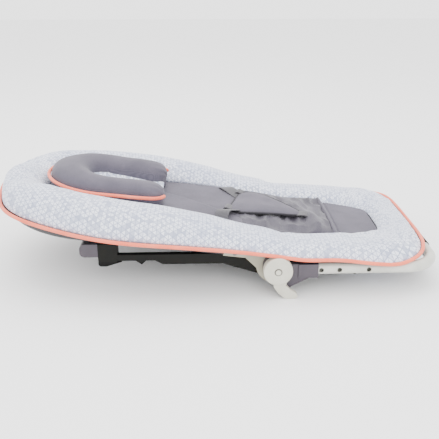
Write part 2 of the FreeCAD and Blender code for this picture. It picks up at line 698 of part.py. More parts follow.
def lever_spring(label, side):
    """Return spring of a lever, as the ring that its close coils make."""
    outside = cylinder(f"SpringOut{label}", "spring_outer", "spring_length")
    inside = cylinder(f"SpringIn{label}", "spring_inner", "spring_length")
    for thing in (outside, inside):
        along_y(thing, "hub_x", f"{LEVER_IN} + spring_gap / 4", "hub_z", side)
    ring = doc.addObject("Part::Cut", f"Spring{label}")
    ring.Base = outside
    ring.Tool = inside
    doc.recompute()
    register(ring, f"lever_spring_{label}")


# --- soft parts -----------------------------------------------------------------------------

def slab(name, start, tip, half, corner, thickness):
    """A flat pad with rounded corners at its tip, standing on its own XY plane."""
    body = new_body(name)
    outline = new_sketch(body, f"{name}_outline", "XY_Plane")
    draw_hoop(outline, start, tip, half, corner, closed=True)
    pad(body, outline, thickness)
    return body


def cut_hoop(body, start, tip, half, corner):
    hollow = new_sketch(body, f"{body.Name}_hollow", "XY_Plane")
    draw_hoop(hollow, start, tip, half, corner, closed=True)
    pocket(body, hollow)


def cut_above(body, crest):
    """Take away what lies above a crest line of (x, z) expressions."""
    above = new_sketch(body, f"{body.Name}_crest", "XZ_Plane")
    draw_polygon(above, [(crest[0][0], SKY)] + crest + [(crest[-1][0], SKY)])
    pocket(body, above)


def seat_bolster():
    """Padded edge of the seat: a U that closes round the foot end."""
    body = slab("SeatBolster", "hip_end + soft_gap", SEAT_RING_TIP, SEAT_RING_HALF,
                "seat_ring_corner", "seat_ring_height")
    open_end = "hip_end - hollow_overrun"
    cut_hoop(body, open_end, SEAT_HOLLOW_TIP, RING_INNER, "ring_inner_corner")
    shallow = "seat_ring_height - seat_ring_dip / 3"
    cut_above(body, [(open_end, "seat_ring_height - seat_ring_dip"),
                     ("hip_end + seat_ring_rise", shallow), (SEAT_HOLLOW_TIP, shallow),
                     (f"{SEAT_RING_TIP} + 1", "seat_ring_toe")])
    place(body, z=SEAT_RING_LOW)
    register(body, "seat_bolster")


def hip_bolster(label, side):
    """The stretch of padded edge that bends over the hub when the back is raised."""
    body = new_body(f"HipBolster{label}")
    section = new_sketch(body, f"HipBolster{label}_section", "YZ_Plane", HIP_EDGE)
    inner = f"{side} * {RING_INNER}"
    step = f"{side} * ({REAR_IN} - soft_gap)"
    outer = f"{side} * {SEAT_RING_HALF}"
    low = HIP_LOW
    high = "hub_z + rear_disc + soft_gap"
    draw_polygon(section, [(inner, low), (step, low), (step, high), (outer, high),
                           (outer, HIP_TOP), (inner, HIP_TOP)])
    pad(body, section, f"hip_end - soft_gap - {HIP_EDGE}")
    register(body, f"hip_bolster_{label}")


def backrest_bolster():
    """Padded edge of the back: a U that closes round the head end and is highest there."""
    body = slab("BackBolster", f"-{BACK_EDGE}", f"-{BACK_RING_TIP}", BACK_RING_HALF,
                "back_ring_corner", "back_ring_high + back_ring_step")
    open_end = "-(hub_x - hip_start - hollow_overrun)"
    cut_hoop(body, open_end, f"-{BACK_HOLLOW_TIP}", RING_INNER, "ring_inner_corner")
    below, above = "back_ring_mid - back_ring_step", "back_ring_mid + back_ring_step"
    cut_above(body, [(open_end, "back_ring_low"),
                     ("-(hub_x - hip_start + back_ring_flat)", "back_ring_low"),
                     (f"-{BACK_RING_TIP} * 0.32", below), (f"-{BACK_RING_TIP} * 0.5", above),
                     (f"-{BACK_RING_TIP} * 0.72", "back_ring_high"),
                     (f"-{BACK_RING_TIP} * 0.88", above),
                     (f"-({BACK_RING_TIP} + 1)", "back_ring_toe")])
    lift_on_back(body, BACK_RING_LOW)
    register(body, "backrest_bolster")


def lift_on_back(thing, height, y="0"):
    """Put a piece on the tilted back, a height above the plane of the hub axis."""
    place_on_back(thing, y)
    thing.setExpression(".Placement.Base.x", bound(f"hub_x + sin(back_tilt) * ({height})"))
    thing.setExpression(".Placement.Base.z", bound(f"hub_z + cos(back_tilt) * ({height})"))


def inserts():
    """The dark pads that fill the ring of the back and of the seat."""
    half = f"({RING_INNER} - soft_gap)"
    seat = slab("SeatInsert", "hip_end + soft_gap", f"{SEAT_HOLLOW_TIP} - soft_gap", half,
                "ring_inner_corner", "seat_pad_height")
    place(seat, z=SEAT_PAD_LOW)
    register(seat, "seat_insert")
    back = slab("BackInsert", f"-{BACK_EDGE}", f"-({BACK_HOLLOW_TIP} - soft_gap)", half,
                "ring_inner_corner", "back_pad_top - back_pad_bottom")
    lift_on_back(back, "back_pad_bottom")
    register(back, "backrest_insert")


def hip_insert():
    """Loose fabric between the two pads, in front of the hub axis."""
    body = new_body("HipInsert")
    section = new_sketch(body, "HipInsert_section", "XY_Plane", SEAT_PAD_LOW)
    x0, x1 = HIP_EDGE, "hip_end - soft_gap"
    half = f"({RING_INNER} - soft_gap)"
    draw_polygon(section, [(x0, f"-{half}"), (x1, f"-{half}"), (x1, half), (x0, half)])
    pad(body, section, "seat_pad_height")
    register(body, "hip_fabric")


def slings():
    """The thin fabric underside of the back and of the seat, between the frame tubes."""
    reach = "frame_tube + soft_gap"
    below = "sling_thickness + soft_gap"
    seat = slab("SeatSling", "hip_end", f"seat_tube_tip - ({reach})",
                "stack_inner - sling_margin", "seat_tube_corner * 0.6", "sling_thickness")
    place(seat, z=f"{SEAT_PAD_LOW} - ({below})")
    register(seat, "seat_sling")
    back = slab("BackSling", "-(hub_x - hip_start)", f"-(back_tube_tip - ({reach}))",
                f"{REAR_IN} - sling_margin", "back_tube_corner * 0.8", "sling_thickness")
    lift_on_back(back, f"back_pad_bottom - ({below})")
    register(back, "backrest_sling")


def pipings():
    """The corded trim round the outside of each padded edge."""
    out = "piping_radius + soft_gap"
    seat = tube_body("SeatPiping", "hip_end + soft_gap", f"{SEAT_RING_TIP} + {out}",
                     f"{SEAT_RING_HALF} + {out}", f"seat_ring_corner + {out}", "piping_radius")
    place(seat, z=f"{SEAT_RING_LOW} + piping_radius - piping_drop")
    register(seat, "seat_piping")
    back = tube_body("BackPiping", f"-{BACK_EDGE}", f"-({BACK_RING_TIP} + {out})",
                     f"{BACK_RING_HALF} + {out}", f"back_ring_corner + {out}", "piping_radius")
    lift_on_back(back, f"{BACK_RING_LOW} + piping_radius")
    register(back, "backrest_piping")


def head_pillow():
    """Horseshoe pillow, open towards the seat, with the child's head in its hollow."""
    half = f"({RING_INNER} - pillow_gap)"
    body = slab("HeadPillow", "-pillow_start", f"-({BACK_HOLLOW_TIP} - pillow_gap)", half,
                f"{half} - pillow_square", "pillow_height")
    cut_hoop(body, "-(pillow_start - hollow_overrun)", "-pillow_slot_tip", "pillow_slot_half",
             "pillow_slot_half - 1")
    top = value("pillow_height") - 0.5
    round_edges(body, "pillow_round", lambda edge: edge.BoundBox.ZMin > top)
    lift_on_back(body, "back_pad_top + soft_gap")
    register(body, "head_pillow")


def crotch_pad():
    """Rounded triangular harness pad, laid back over the hip with its wide end to the head."""
    body = new_body("CrotchPad")
    outline = new_sketch(body, "CrotchPad_outline", "XY_Plane")
    length, corner, side = "harness_end - harness_start", "harness_wide * 0.75", "harness_wide * 0.9"
    draw_polygon(outline, [("0", f"-{corner}"), ("harness_shoulder", "-harness_wide"),
                           ("harness_taper", f"-{side}"),
                           (length, "-harness_narrow - harness_lean"),
                           (length, "harness_narrow - harness_lean"), ("harness_taper", side),
                           ("harness_shoulder", "harness_wide"), ("0", corner)])
    pad(body, outline, "harness_thickness")
    up = FreeCAD.Vector(0, 0, 1)
    round_edges(body, "harness_round", lambda edge: runs_along(edge, up))
    back = ("hub_z + tan(back_tilt) * (hub_x - harness_start) + back_pad_top / cos(back_tilt)"
            " + harness_lift_back")
    drop = f"asin(({back} - {SEAT_PAD_TOP} - harness_lift_front) / ({length})) / 1 deg"
    place(body, "harness_start", "0", back, (FreeCAD.Vector(0, 1, 0), drop))
    register(body, "crotch_pad")


def straps():
    """Flat webbing: one strap from the seat to the crotch pad, one loop on each side."""
    crotch = doc.addObject("Part::Box", "CrotchStrap")
    for prop, expression in (("Length", "crotch_strap_length"), ("Width", "strap_width"),
                             ("Height", "strap_thickness")):
        setattr(crotch, prop, value(expression))
        crotch.setExpression(prop, bound(expression))
    place(crotch, "harness_end + strap_gap", "-strap_width / 2 - harness_lean",
          f"{SEAT_PAD_TOP} + soft_gap")
    doc.recompute()
    register(crotch, "crotch_strap")
    for label, side in SIDES:
        strap = doc.addObject("Part::Box", f"WaistStrap{label}")
        for prop, expression in (("Length", "strap_width"), ("Width", "waist_strap_length"),
                                 ("Height", "strap_thickness")):
            setattr(strap, prop, value(expression))
            strap.setExpression(prop, bound(expression))
        outer = f"{RING_INNER} - waist_strap_gap"
        inner = f"{outer} - waist_strap_length"
        strap_y = f"({inner})" if side > 0 else f"-({outer})"
        place_on_back(strap, strap_y)
        height = "back_pad_top + soft_gap"
        back = "waist_strap_x"
        strap.setExpression(".Placement.Base.x", bound(
            f"hub_x + sin(back_tilt) * ({height}) - cos(back_tilt) * {back}"))
        strap.setExpression(".Placement.Base.z", bound(
            f"hub_z + cos(back_tilt) * ({height}) + sin(back_tilt) * {back}"))
        doc.recompute()
        register(strap, f"waist_strap_{label}")


def export():
    """Check every object of the document and write each sub-part to its own file."""
    doc.recompute()
    for thing in doc.Objects:
        if "Invalid" in thing.State or "Error" in thing.State:
            raise RuntimeError(f"{thing.Name} failed: {thing.State}")
    os.makedirs(PARTS_DIR, exist_ok=True)
    for thing in nodes:
        shape = thing.Shape
        if shape.isNull() or not shape.isValid() or not shape.Solids:
            raise RuntimeError(f"{thing.Label} is not a valid solid")
        shape.exportStep(os.path.join(PARTS_DIR, f"{thing.Label}.step"))
    print(f"{len(nodes)} sub-parts written")


def build():
    fill_sheet()
    seat_tube()
    backrest_tube()
    front_leg_tube()
    for label, side in SIDES:
        seat_bracket(label, side)
        hub_pin(label, side)
        hub_washers(label, side)
        backrest_bracket(label, side)
        leg_socket(label, side)
        foot_grip(label, side)
        rear_arm(label, side)
        rear_corner(label, side)
        rear_foot(label, side)
        lever(label, side)
        lever_cap(label, side)
        lever_spring(label, side)
        hip_bolster(label, side)
    for name, label, heads in (("BackRivets", "backrest_rivets", backrest_rivets()),
                               ("LegRivets", "leg_rivets", leg_rivets())):
        group = doc.addObject("Part::Compound", name)
        group.Links = heads
        doc.recompute()
        register(group, label)
    rear_crossbar()
    seat_bolster()
    backrest_bolster()
    inserts()
    hip_insert()
    slings()
    pipings()
    head_pillow()
    crotch_pad()
    straps()
    export()


build()
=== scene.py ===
"""A folding baby bouncer seat, folded flat: its padded ring, pads, pillow and harness, and the
finish of every hard part of its frame."""
import logging
import math
from dataclasses import dataclass, field
from enum import Enum
from typing import Callable, Sequence

import bmesh
import bpy
import numpy as np
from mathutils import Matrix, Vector
from mathutils.kdtree import KDTree
from mathutils.noise import noise


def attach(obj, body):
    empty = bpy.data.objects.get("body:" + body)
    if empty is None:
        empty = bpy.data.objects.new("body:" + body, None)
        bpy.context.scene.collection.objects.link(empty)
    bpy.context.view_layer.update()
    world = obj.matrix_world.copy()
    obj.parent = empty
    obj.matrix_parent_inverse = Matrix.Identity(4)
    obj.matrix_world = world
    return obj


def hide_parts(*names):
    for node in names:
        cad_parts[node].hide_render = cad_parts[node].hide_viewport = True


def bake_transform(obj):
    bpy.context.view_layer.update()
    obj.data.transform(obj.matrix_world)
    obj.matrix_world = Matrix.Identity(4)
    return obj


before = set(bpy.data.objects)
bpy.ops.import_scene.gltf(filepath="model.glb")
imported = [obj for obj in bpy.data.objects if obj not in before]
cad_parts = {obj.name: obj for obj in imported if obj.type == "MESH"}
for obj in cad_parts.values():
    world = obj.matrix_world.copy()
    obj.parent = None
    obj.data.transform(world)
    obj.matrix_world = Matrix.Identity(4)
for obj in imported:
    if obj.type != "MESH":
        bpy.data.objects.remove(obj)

logging.basicConfig(level=logging.INFO, format="%(message)s")
log = logging.getLogger("bouncer")

# the axis that every hinge shares
HUB = Vector((0.115, 0.0, 0.056))
BACK_TILT = math.radians(7)
# a wave texture at scale 1 / (3.14 * pitch) draws one band to each pitch
BAND_FACTOR = 3.14
# metres; so long that the map of an open path never wraps round
OPEN_LENGTH = 1e9
MERGE = 1e-6
CLOTH = {"use_pressure": True, "quality": 5, "mass": 0.3, "tension_stiffness": 12,
         "compression_stiffness": 12, "bending_stiffness": 0.4}


class Side(Enum):
    """The sitting child's left, at +Y, and right, at -Y."""

    LEFT = 1
    RIGHT = -1

    @property
    def label(self) -> str:
        """The side's name as the nodes of the frame spell it."""
        return self.name.lower()


# --- small tools -----------------------------------------------------------------------------


def linear(code: str) -> tuple[float, float, float, float]:
    """Turn an sRGB hex colour into Blender's linear one.

    Args:
        code: six hex digits, with or without a leading hash.

    Returns:
        The linear colour, opaque.
    """
    code = code.lstrip("#")
    parts = [int(code[i:i + 2], 16) / 255 for i in (0, 2, 4)]
    out = [c / 12.92 if c <= 0.04045 else ((c + 0.055) / 1.055) ** 2.4 for c in parts]
    return out[0], out[1], out[2], 1.0


def on_back(along: float, across: float, up: float) -> Vector:
    """A point given in the tilted back's own frame, whose origin is the hub axis.

    Args:
        along: metres from the hub axis towards the head end.
        across: metres to the child's left.
        up: metres above the plane through the hub axis.

    Returns:
        The point in the seat's frame.
    """
    cos, sin = math.cos(BACK_TILT), math.sin(BACK_TILT)
    return Vector((HUB.x - along * cos + up * sin, across, HUB.z + along * sin + up * cos))


@dataclass(frozen=True)
class Profile:
    """A smooth height or width along X, through a few knots."""

    knots: tuple[tuple[float, float], ...]

    def at(self, x: np.ndarray | float) -> np.ndarray:
        """Read the profile at one or many places.

        Args:
            x: place or places along X, in metres.

        Returns:
            The profile's value there, by a Catmull-Rom curve through the knots.
        """
        xs = np.array([k[0] for k in self.knots])
        ys = np.array([k[1] for k in self.knots])
        slope = np.gradient(ys, xs)
        x = np.clip(np.asarray(x, float), xs[0], xs[-1])
        i = np.clip(np.searchsorted(xs, x) - 1, 0, len(xs) - 2)
        step = xs[i + 1] - xs[i]
        t = (x - xs[i]) / step
        return ((1 + 2 * t) * (1 - t) ** 2 * ys[i] + t * (1 - t) ** 2 * step * slope[i]
                + t * t * (3 - 2 * t) * ys[i + 1] + t * t * (t - 1) * step * slope[i + 1])


def resample(points: np.ndarray, count: int, closed: bool) -> np.ndarray:
    """Spread points evenly along a polyline.

    Args:
        points: the polyline, one point a row.
        count: how many points to give back.
        closed: whether the line runs back to its start.

    Returns:
        The even points; a closed line's last point isn't its first again.
    """
    line = np.vstack([points, points[:1]]) if closed else points
    away = np.concatenate([[0], np.cumsum(np.linalg.norm(np.diff(line, axis=0), axis=1))])
    want = np.linspace(0, away[-1], count, endpoint=not closed)
    return np.stack([np.interp(want, away, line[:, k]) for k in range(line.shape[1])], axis=1)


def superellipse(centre: float, half_length: tuple[float, float], half_width: Profile,
                 power: tuple[float, float], count: int) -> np.ndarray:
    """A rounded plan outline whose head end and foot end differ.

    Args:
        centre: X of the middle.
        half_length: reach towards the head end and towards the foot end.
        half_width: half of the width along X.
        power: how square the head end and the foot end are; 2 is an ellipse.
        count: how many points to give back.

    Returns:
        Points (x, y) round the outline, counter-clockwise from the foot end.
    """
    angle = np.linspace(0, 2 * math.pi, 4 * count, endpoint=False)
    cos, sin = np.cos(angle), np.sin(angle)
    head = 0.5 - 0.5 * np.tanh(cos * 4)
    n = power[1] + (power[0] - power[1]) * head
    reach = np.where(cos < 0, half_length[0], half_length[1])
    x = centre + reach * np.sign(cos) * np.abs(cos) ** (2 / n)
    y = half_width.at(x) * np.sign(sin) * np.abs(sin) ** (2 / n)
    return resample(np.stack([x, y], axis=1), count, closed=True)


def cut_corners(line: np.ndarray, closed: bool, times: int = 3) -> np.ndarray:
    """Round a line by cutting its corners again and again.

    Args:
        line: points, one a row.
        closed: whether it runs back to its start; an open line keeps its ends.
        times: how often the corners are cut.

    Returns:
        The rounded line.
    """
    size = line.shape[1]
    for _ in range(times):
        following = np.roll(line, -1, axis=0)
        pairs = np.stack([0.75 * line + 0.25 * following, 0.25 * line + 0.75 * following], axis=1)
        if closed:
            line = pairs.reshape(-1, size)
        else:
            line = np.vstack([line[:1], pairs[:-1].reshape(-1, size), line[-1:]])
    return line


def sideways(line: np.ndarray) -> np.ndarray:
    """Directions across a plan line.

    Args:
        line: points (x, y), one a row.

    Returns:
        Unit vectors to the line's right, one for each point.
    """
    along = np.gradient(line, axis=0)
    along /= np.linalg.norm(along, axis=1)[:, None]
    return np.column_stack([along[:, 1], -along[:, 0]])


def points_of(mesh: bpy.types.Mesh, key: str = "co") -> np.ndarray:
    """Read a mesh's points or normals.

    Args:
        mesh: the mesh.
        key: "co" for the places, "normal" for the normals.

    Returns:
        One row for each point.
    """
    values = np.zeros(len(mesh.vertices) * 3)
    mesh.vertices.foreach_get(key, values)
    return values.reshape(-1, 3)


def mesh_object(name: str, points: np.ndarray, faces: Sequence[Sequence[int]]) -> bpy.types.Object:
    """Make a mesh object at the origin from points and faces.

    Args:
        name: the piece's name.
        points: one point a row, in metres.
        faces: corner numbers of each face.

    Returns:
        The linked object, shaded smooth.
    """
    mesh = bpy.data.meshes.new(name)
    mesh.from_pydata([tuple(p) for p in points], [], [tuple(f) for f in faces])
    mesh.validate()
    mesh.polygons.foreach_set("use_smooth", [True] * len(mesh.polygons))
    mesh.update()
    piece = bpy.data.objects.new(name, mesh)
    bpy.context.scene.collection.objects.link(piece)
    return piece


def skin(name: str, rings: np.ndarray, closed: bool) -> bpy.types.Object:
    """Stretch a surface over a row of closed sections.

    Args:
        name: the piece's name.
        rings: array of sections, each a closed loop of points.
        closed: whether the last section joins the first; otherwise both ends are capped.

    Returns:
        The closed mesh, its faces outwards.
    """
    count, sides = rings.shape[:2]
    points = rings.reshape(-1, 3)
    faces = []
    for i in range(count if closed else count - 1):
        for k in range(sides):
            a, b = i * sides + k, i * sides + (k + 1) % sides
            j = (i + 1) % count
            faces.append((a, b, j * sides + (k + 1) % sides, j * sides + k))
    if not closed:
        middle = len(points)
        points = np.vstack([points, rings[0].mean(0), rings[-1].mean(0)])
        last = (count - 1) * sides
        for k in range(sides):
            faces.append(((k + 1) % sides, k, middle))
            faces.append((last + k, last + (k + 1) % sides, middle + 1))
    piece = mesh_object(name, points, faces)
    outwards(piece)
    return piece


def outwards(piece: bpy.types.Object) -> None:
    """Turn every face of a closed mesh outwards.

    Args:
        piece: the closed mesh.
    """
    work = bmesh.new()
    work.from_mesh(piece.data)
    bmesh.ops.remove_doubles(work, verts=work.verts, dist=MERGE)
    bmesh.ops.recalc_face_normals(work, faces=work.faces)
    work.to_mesh(piece.data)
    work.free()


def frames_along(path: np.ndarray, closed: bool) -> tuple[np.ndarray, np.ndarray, np.ndarray]:
    """Directions along a path and two directions across it, as level as the path allows.

    Args:
        path: points along the path.
        closed: whether it runs back to its start.

    Returns:
        Unit vectors along, sideways and upwards, one row for each point.
    """
    if closed:
        along = np.roll(path, -1, axis=0) - np.roll(path, 1, axis=0)
    else:
        along = np.gradient(path, axis=0)
    along /= np.linalg.norm(along, axis=1)[:, None]
    side = np.cross(along, np.array([0.0, 0.0, 1.0]))
    side /= np.maximum(np.linalg.norm(side, axis=1), 1e-9)[:, None]
    return along, side, np.cross(side, along)


def tube(name: str, path: np.ndarray, radius: float, closed: bool,
         sides: int = 10) -> bpy.types.Object:
    """A round cord or piping along a path, with metres along it and around it as its UV map.

    Args:
        name: the piece's name.
        path: points along its middle, in metres.
        radius: its radius in metres.
        closed: whether it joins up.
        sides: how many sides it has.

    Returns:
        The tube.
    """
    _, side, up = frames_along(path, closed)
    turn = np.linspace(0, 2 * math.pi, sides, endpoint=False)
    ring = (np.cos(turn)[None, :, None] * side[:, None] + np.sin(turn)[None, :, None]
            * up[:, None]) * radius
    piece = skin(name, path[:, None] + ring, closed)
    paint_uv(piece, path, closed, radius)
    return piece


def paint_uv(piece: bpy.types.Object, path: np.ndarray, closed: bool, radius: float) -> None:
    """Give a piece a UV map in metres: along a path, and round it.

    Args:
        piece: the mesh.
        path: points along the middle of the piece.
        closed: whether the path joins up.
        radius: the radius that turns an angle round the path into metres.
    """
    mesh = piece.data
    along, side, up = frames_along(path, closed)
    steps = np.linalg.norm(np.diff(np.vstack([path, path[:1]]), axis=0), axis=1)
    away = np.concatenate([[0], np.cumsum(steps)])[:len(path)]
    total = float(steps.sum()) if closed else OPEN_LENGTH
    tree = KDTree(len(path))
    for i, p in enumerate(path):
        tree.insert(p, i)
    tree.balance()
    co = points_of(mesh)
    near = np.array([tree.find(p)[1] for p in co])
    rel = co - path[near]
    u = away[near] + np.einsum("ij,ij->i", rel, along[near])
    v = np.arctan2(np.einsum("ij,ij->i", rel, up[near]), np.einsum("ij,ij->i", rel, side[near]))
    corner = np.zeros(len(mesh.loops), int)
    mesh.loops.foreach_get("vertex_index", corner)
    starts = np.zeros(len(mesh.polygons), int)
    mesh.polygons.foreach_get("loop_start", starts)
    sizes = np.diff(np.append(starts, len(corner)))
    first = np.repeat(corner[starts], sizes)
    lu, lv = u[corner], v[corner]
    lu = u[first] + (lu - u[first] + total / 2) % total - total / 2
    lv = v[first] + (lv - v[first] + math.pi) % (2 * math.pi) - math.pi
    layer = mesh.uv_layers.get("UVMap") or mesh.uv_layers.new(name="UVMap")
    layer.data.foreach_set("uv", np.stack([lu, lv * radius], axis=1).ravel())


def shift_points(piece: bpy.types.Object,
                 move: Callable[[np.ndarray, np.ndarray], np.ndarray]) -> None:
    """Move a mesh's points by a rule.

    Args:
        piece: the mesh.
        move: gives each point's shift from all points and all normals.
    """
    mesh = piece.data
    co, normals = points_of(mesh), points_of(mesh, "normal")
    mesh.vertices.foreach_set("co", (co + move(co, normals)).ravel())
    mesh.update()


def apply_modifier(piece: bpy.types.Object, kind: str, **settings: object) -> None:
    """Add one modifier with its settings and apply it.

    Args:
        piece: the mesh.
        kind: the modifier's type.
        settings: values of its properties.
    """
    bpy.ops.object.select_all(action="DESELECT")
    piece.select_set(True)
    bpy.context.view_layer.objects.active = piece
    modifier = piece.modifiers.new(kind.title(), kind)
    for key, setting in settings.items():
        setattr(modifier, key, setting)
    bpy.ops.object.modifier_apply(modifier=modifier.name)


def puff(piece: bpy.types.Object, cap: float, pressure: float = 4.0, frames: int = 20) -> None:
    """Fill a pad like a cushion: blow it up as cloth and keep how far it may swell.

    Args:
        piece: the closed mesh.
        cap: the furthest that a point may move, in metres.
        pressure: the air pressure of the cloth.
        frames: how many steps the cloth is given.
    """
    before = points_of(piece.data)
    cloth = piece.modifiers.new("Cloth", "CLOTH")
    for key, setting in CLOTH.items():
        setattr(cloth.settings, key, setting)
    cloth.settings.uniform_pressure_force = pressure
    cloth.settings.effector_weights.gravity = 0
    scene = bpy.context.scene
    for step in range(1, frames + 1):
        scene.frame_set(step)
    graph = bpy.context.evaluated_depsgraph_get()
    after = points_of(piece.evaluated_get(graph).to_mesh())
    piece.evaluated_get(graph).to_mesh_clear()
    piece.modifiers.remove(cloth)
    scene.frame_set(1)
    shift = after - before
    length = np.linalg.norm(shift, axis=1)
    shift *= (np.minimum(length, cap) / np.maximum(length, 1e-9))[:, None]
    piece.data.vertices.foreach_set("co", (before + shift).ravel())
    piece.data.update()


def smooth(piece: bpy.types.Object, levels: int = 1) -> None:
    """Apply subdivision.

    Args:
        piece: the mesh.
        levels: how many times to divide it.
    """
    apply_modifier(piece, "SUBSURF", levels=levels, render_levels=levels)
    piece.data.polygons.foreach_set("use_smooth", [True] * len(piece.data.polygons))


def noise_at(points: np.ndarray, size: float, seed: float = 0.0) -> np.ndarray:
    """Smooth noise between about -1 and 1.

    Args:
        points: places, one a row.
        size: how far apart its bumps are, in metres.
        seed: another number gives another pattern.

    Returns:
        The noise at each place.
    """
    shift = Vector((seed * 7.3, seed * 3.1, seed * 5.7))
    return np.array([noise(Vector(p) / size + shift) for p in points])


def finish_piece(piece: bpy.types.Object, material: bpy.types.Material,
                 body: str | None = None, nodes: Sequence[str] = ()) -> bpy.types.Object:
    """Give a piece its finish, and tie it to its body.

    Args:
        piece: the finished mesh.
        material: what it is made of.
        body: the body that it rides on, or None for a piece across the hip, which is tied to no body.
        nodes: the frame's nodes that it stands for.

    Returns:
        The same piece.
    """
    piece.data.materials.clear()
    piece.data.materials.append(material)
    if nodes:
        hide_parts(*nodes)
    if body is None:
        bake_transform(piece)
    else:
        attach(piece, body)
    log.info("%s: %d faces", piece.name, len(piece.data.polygons))
    return piece


# --- finishes --------------------------------------------------------------------------------


def add(tree: bpy.types.NodeTree, kind: str, links: dict[str | int, object] | None = None,
        **settings: object) -> bpy.types.Node:
    """Add one node with its settings and links.

    Args:
        tree: the material's node tree.
        kind: the node's type, without the ShaderNode in front.
        links: input name or number to a value or to another node's output.
        settings: values of the node's own properties.

    Returns:
        The new node.
    """
    node = tree.nodes.new("ShaderNode" + kind)
    for key, setting in settings.items():
        setattr(node, key, setting)
    for key, source in (links or {}).items():
        if isinstance(source, bpy.types.NodeSocket):
            tree.links.new(source, node.inputs[key])
        else:
            node.inputs[key].default_value = source
    return node


def start_material(name: str) -> tuple[bpy.types.Material, bpy.types.NodeTree, bpy.types.Node]:
    """A new material with only its output and a Principled shader.

    Args:
        name: the material's name.

    Returns:
        The material, its tree and its shader.
    """
    material = bpy.data.materials.new(name)
    material.use_nodes = True
    tree = material.node_tree
    tree.nodes.clear()
    shader = add(tree, "BsdfPrincipled")
    add(tree, "OutputMaterial", {"Surface": shader.outputs[0]})
    return material, tree, shader


def ramp(tree: bpy.types.NodeTree, factor: bpy.types.NodeSocket,
         stops: Sequence[tuple[float, str]]) -> bpy.types.NodeSocket:
    """Turn a number into a colour.

    Args:
        tree: the material's node tree.
        factor: the number.
        stops: place and sRGB hex colour of each stop.

    Returns:
        The colour.
    """
    node = add(tree, "ValToRGB", {"Fac": factor})
    while len(node.color_ramp.elements) < len(stops):
        node.color_ramp.elements.new(1.0)
    for element, (place, code) in zip(node.color_ramp.elements, stops):
        element.position = place
        element.color = linear(code)
    return node.outputs["Color"]


@dataclass(frozen=True)
class Weave:
    """A woven or knitted cloth: fine crossing threads, flecks of yarn, soft blotches of shade.

    Real threads of these cloths lie 0.2 to 0.5 mm apart, too fine to show at this size, so they
    are drawn about three times as coarse.
    """

    name: str
    dark: str
    mid: str
    light: str
    thread: float = 0.0014
    bump: float = 0.25
    roughness: float = 0.85
    sheen: float = 0.3
    sheen_tint: str = "ffffff"
    shine: float = 0.25
    on_uv: bool = False

    def build(self) -> bpy.types.Material:
        """Make the material.

        Returns:
            The material.
        """
        material, tree, shader = start_material(self.name)
        where = add(tree, "TexCoord").outputs["UV" if self.on_uv else "Object"]
        warp, weft = (add(tree, "TexWave", {"Vector": where, "Distortion": 1.2, "Detail": 1.0,
                                            "Scale": 1 / self.thread / BAND_FACTOR,
                                            "Detail Scale": 2.0},
                          wave_type="BANDS", bands_direction=way) for way in ("X", "Y"))
        threads = add(tree, "Math", {0: warp.outputs["Fac"], 1: weft.outputs["Fac"]},
                      operation="MULTIPLY").outputs[0]
        blotch = add(tree, "TexNoise", {"Vector": where, "Scale": 22.0, "Detail": 5.0}).outputs["Fac"]
        # flecks of about 2.4 mm, the length of one yarn on the face of a melange cloth
        fleck = add(tree, "TexNoise", {"Vector": where, "Scale": 420.0, "Detail": 2.0}).outputs["Fac"]
        mixed = add(tree, "Math", {0: blotch, 1: 0.55, 2: 0.0}, operation="MULTIPLY_ADD")
        shade = add(tree, "Math", {0: threads, 1: 0.3, 2: mixed.outputs[0]},
                    operation="MULTIPLY_ADD").outputs[0]
        shade = add(tree, "Math", {0: fleck, 1: 0.28, 2: shade}, operation="MULTIPLY_ADD").outputs[0]
        colour = ramp(tree, shade, ((0.28, self.dark), (0.5, self.mid), (0.74, self.light)))
        tree.links.new(colour, shader.inputs["Base Color"])
        bump = add(tree, "Bump", {"Height": threads, "Strength": self.bump, "Distance": 0.0004})
        tree.links.new(bump.outputs[0], shader.inputs["Normal"])
        shader.inputs["Roughness"].default_value = self.roughness
        shader.inputs["Sheen Weight"].default_value = self.sheen
        shader.inputs["Sheen Tint"].default_value = linear(self.sheen_tint)
        shader.inputs["Specular IOR Level"].default_value = self.shine
        return material


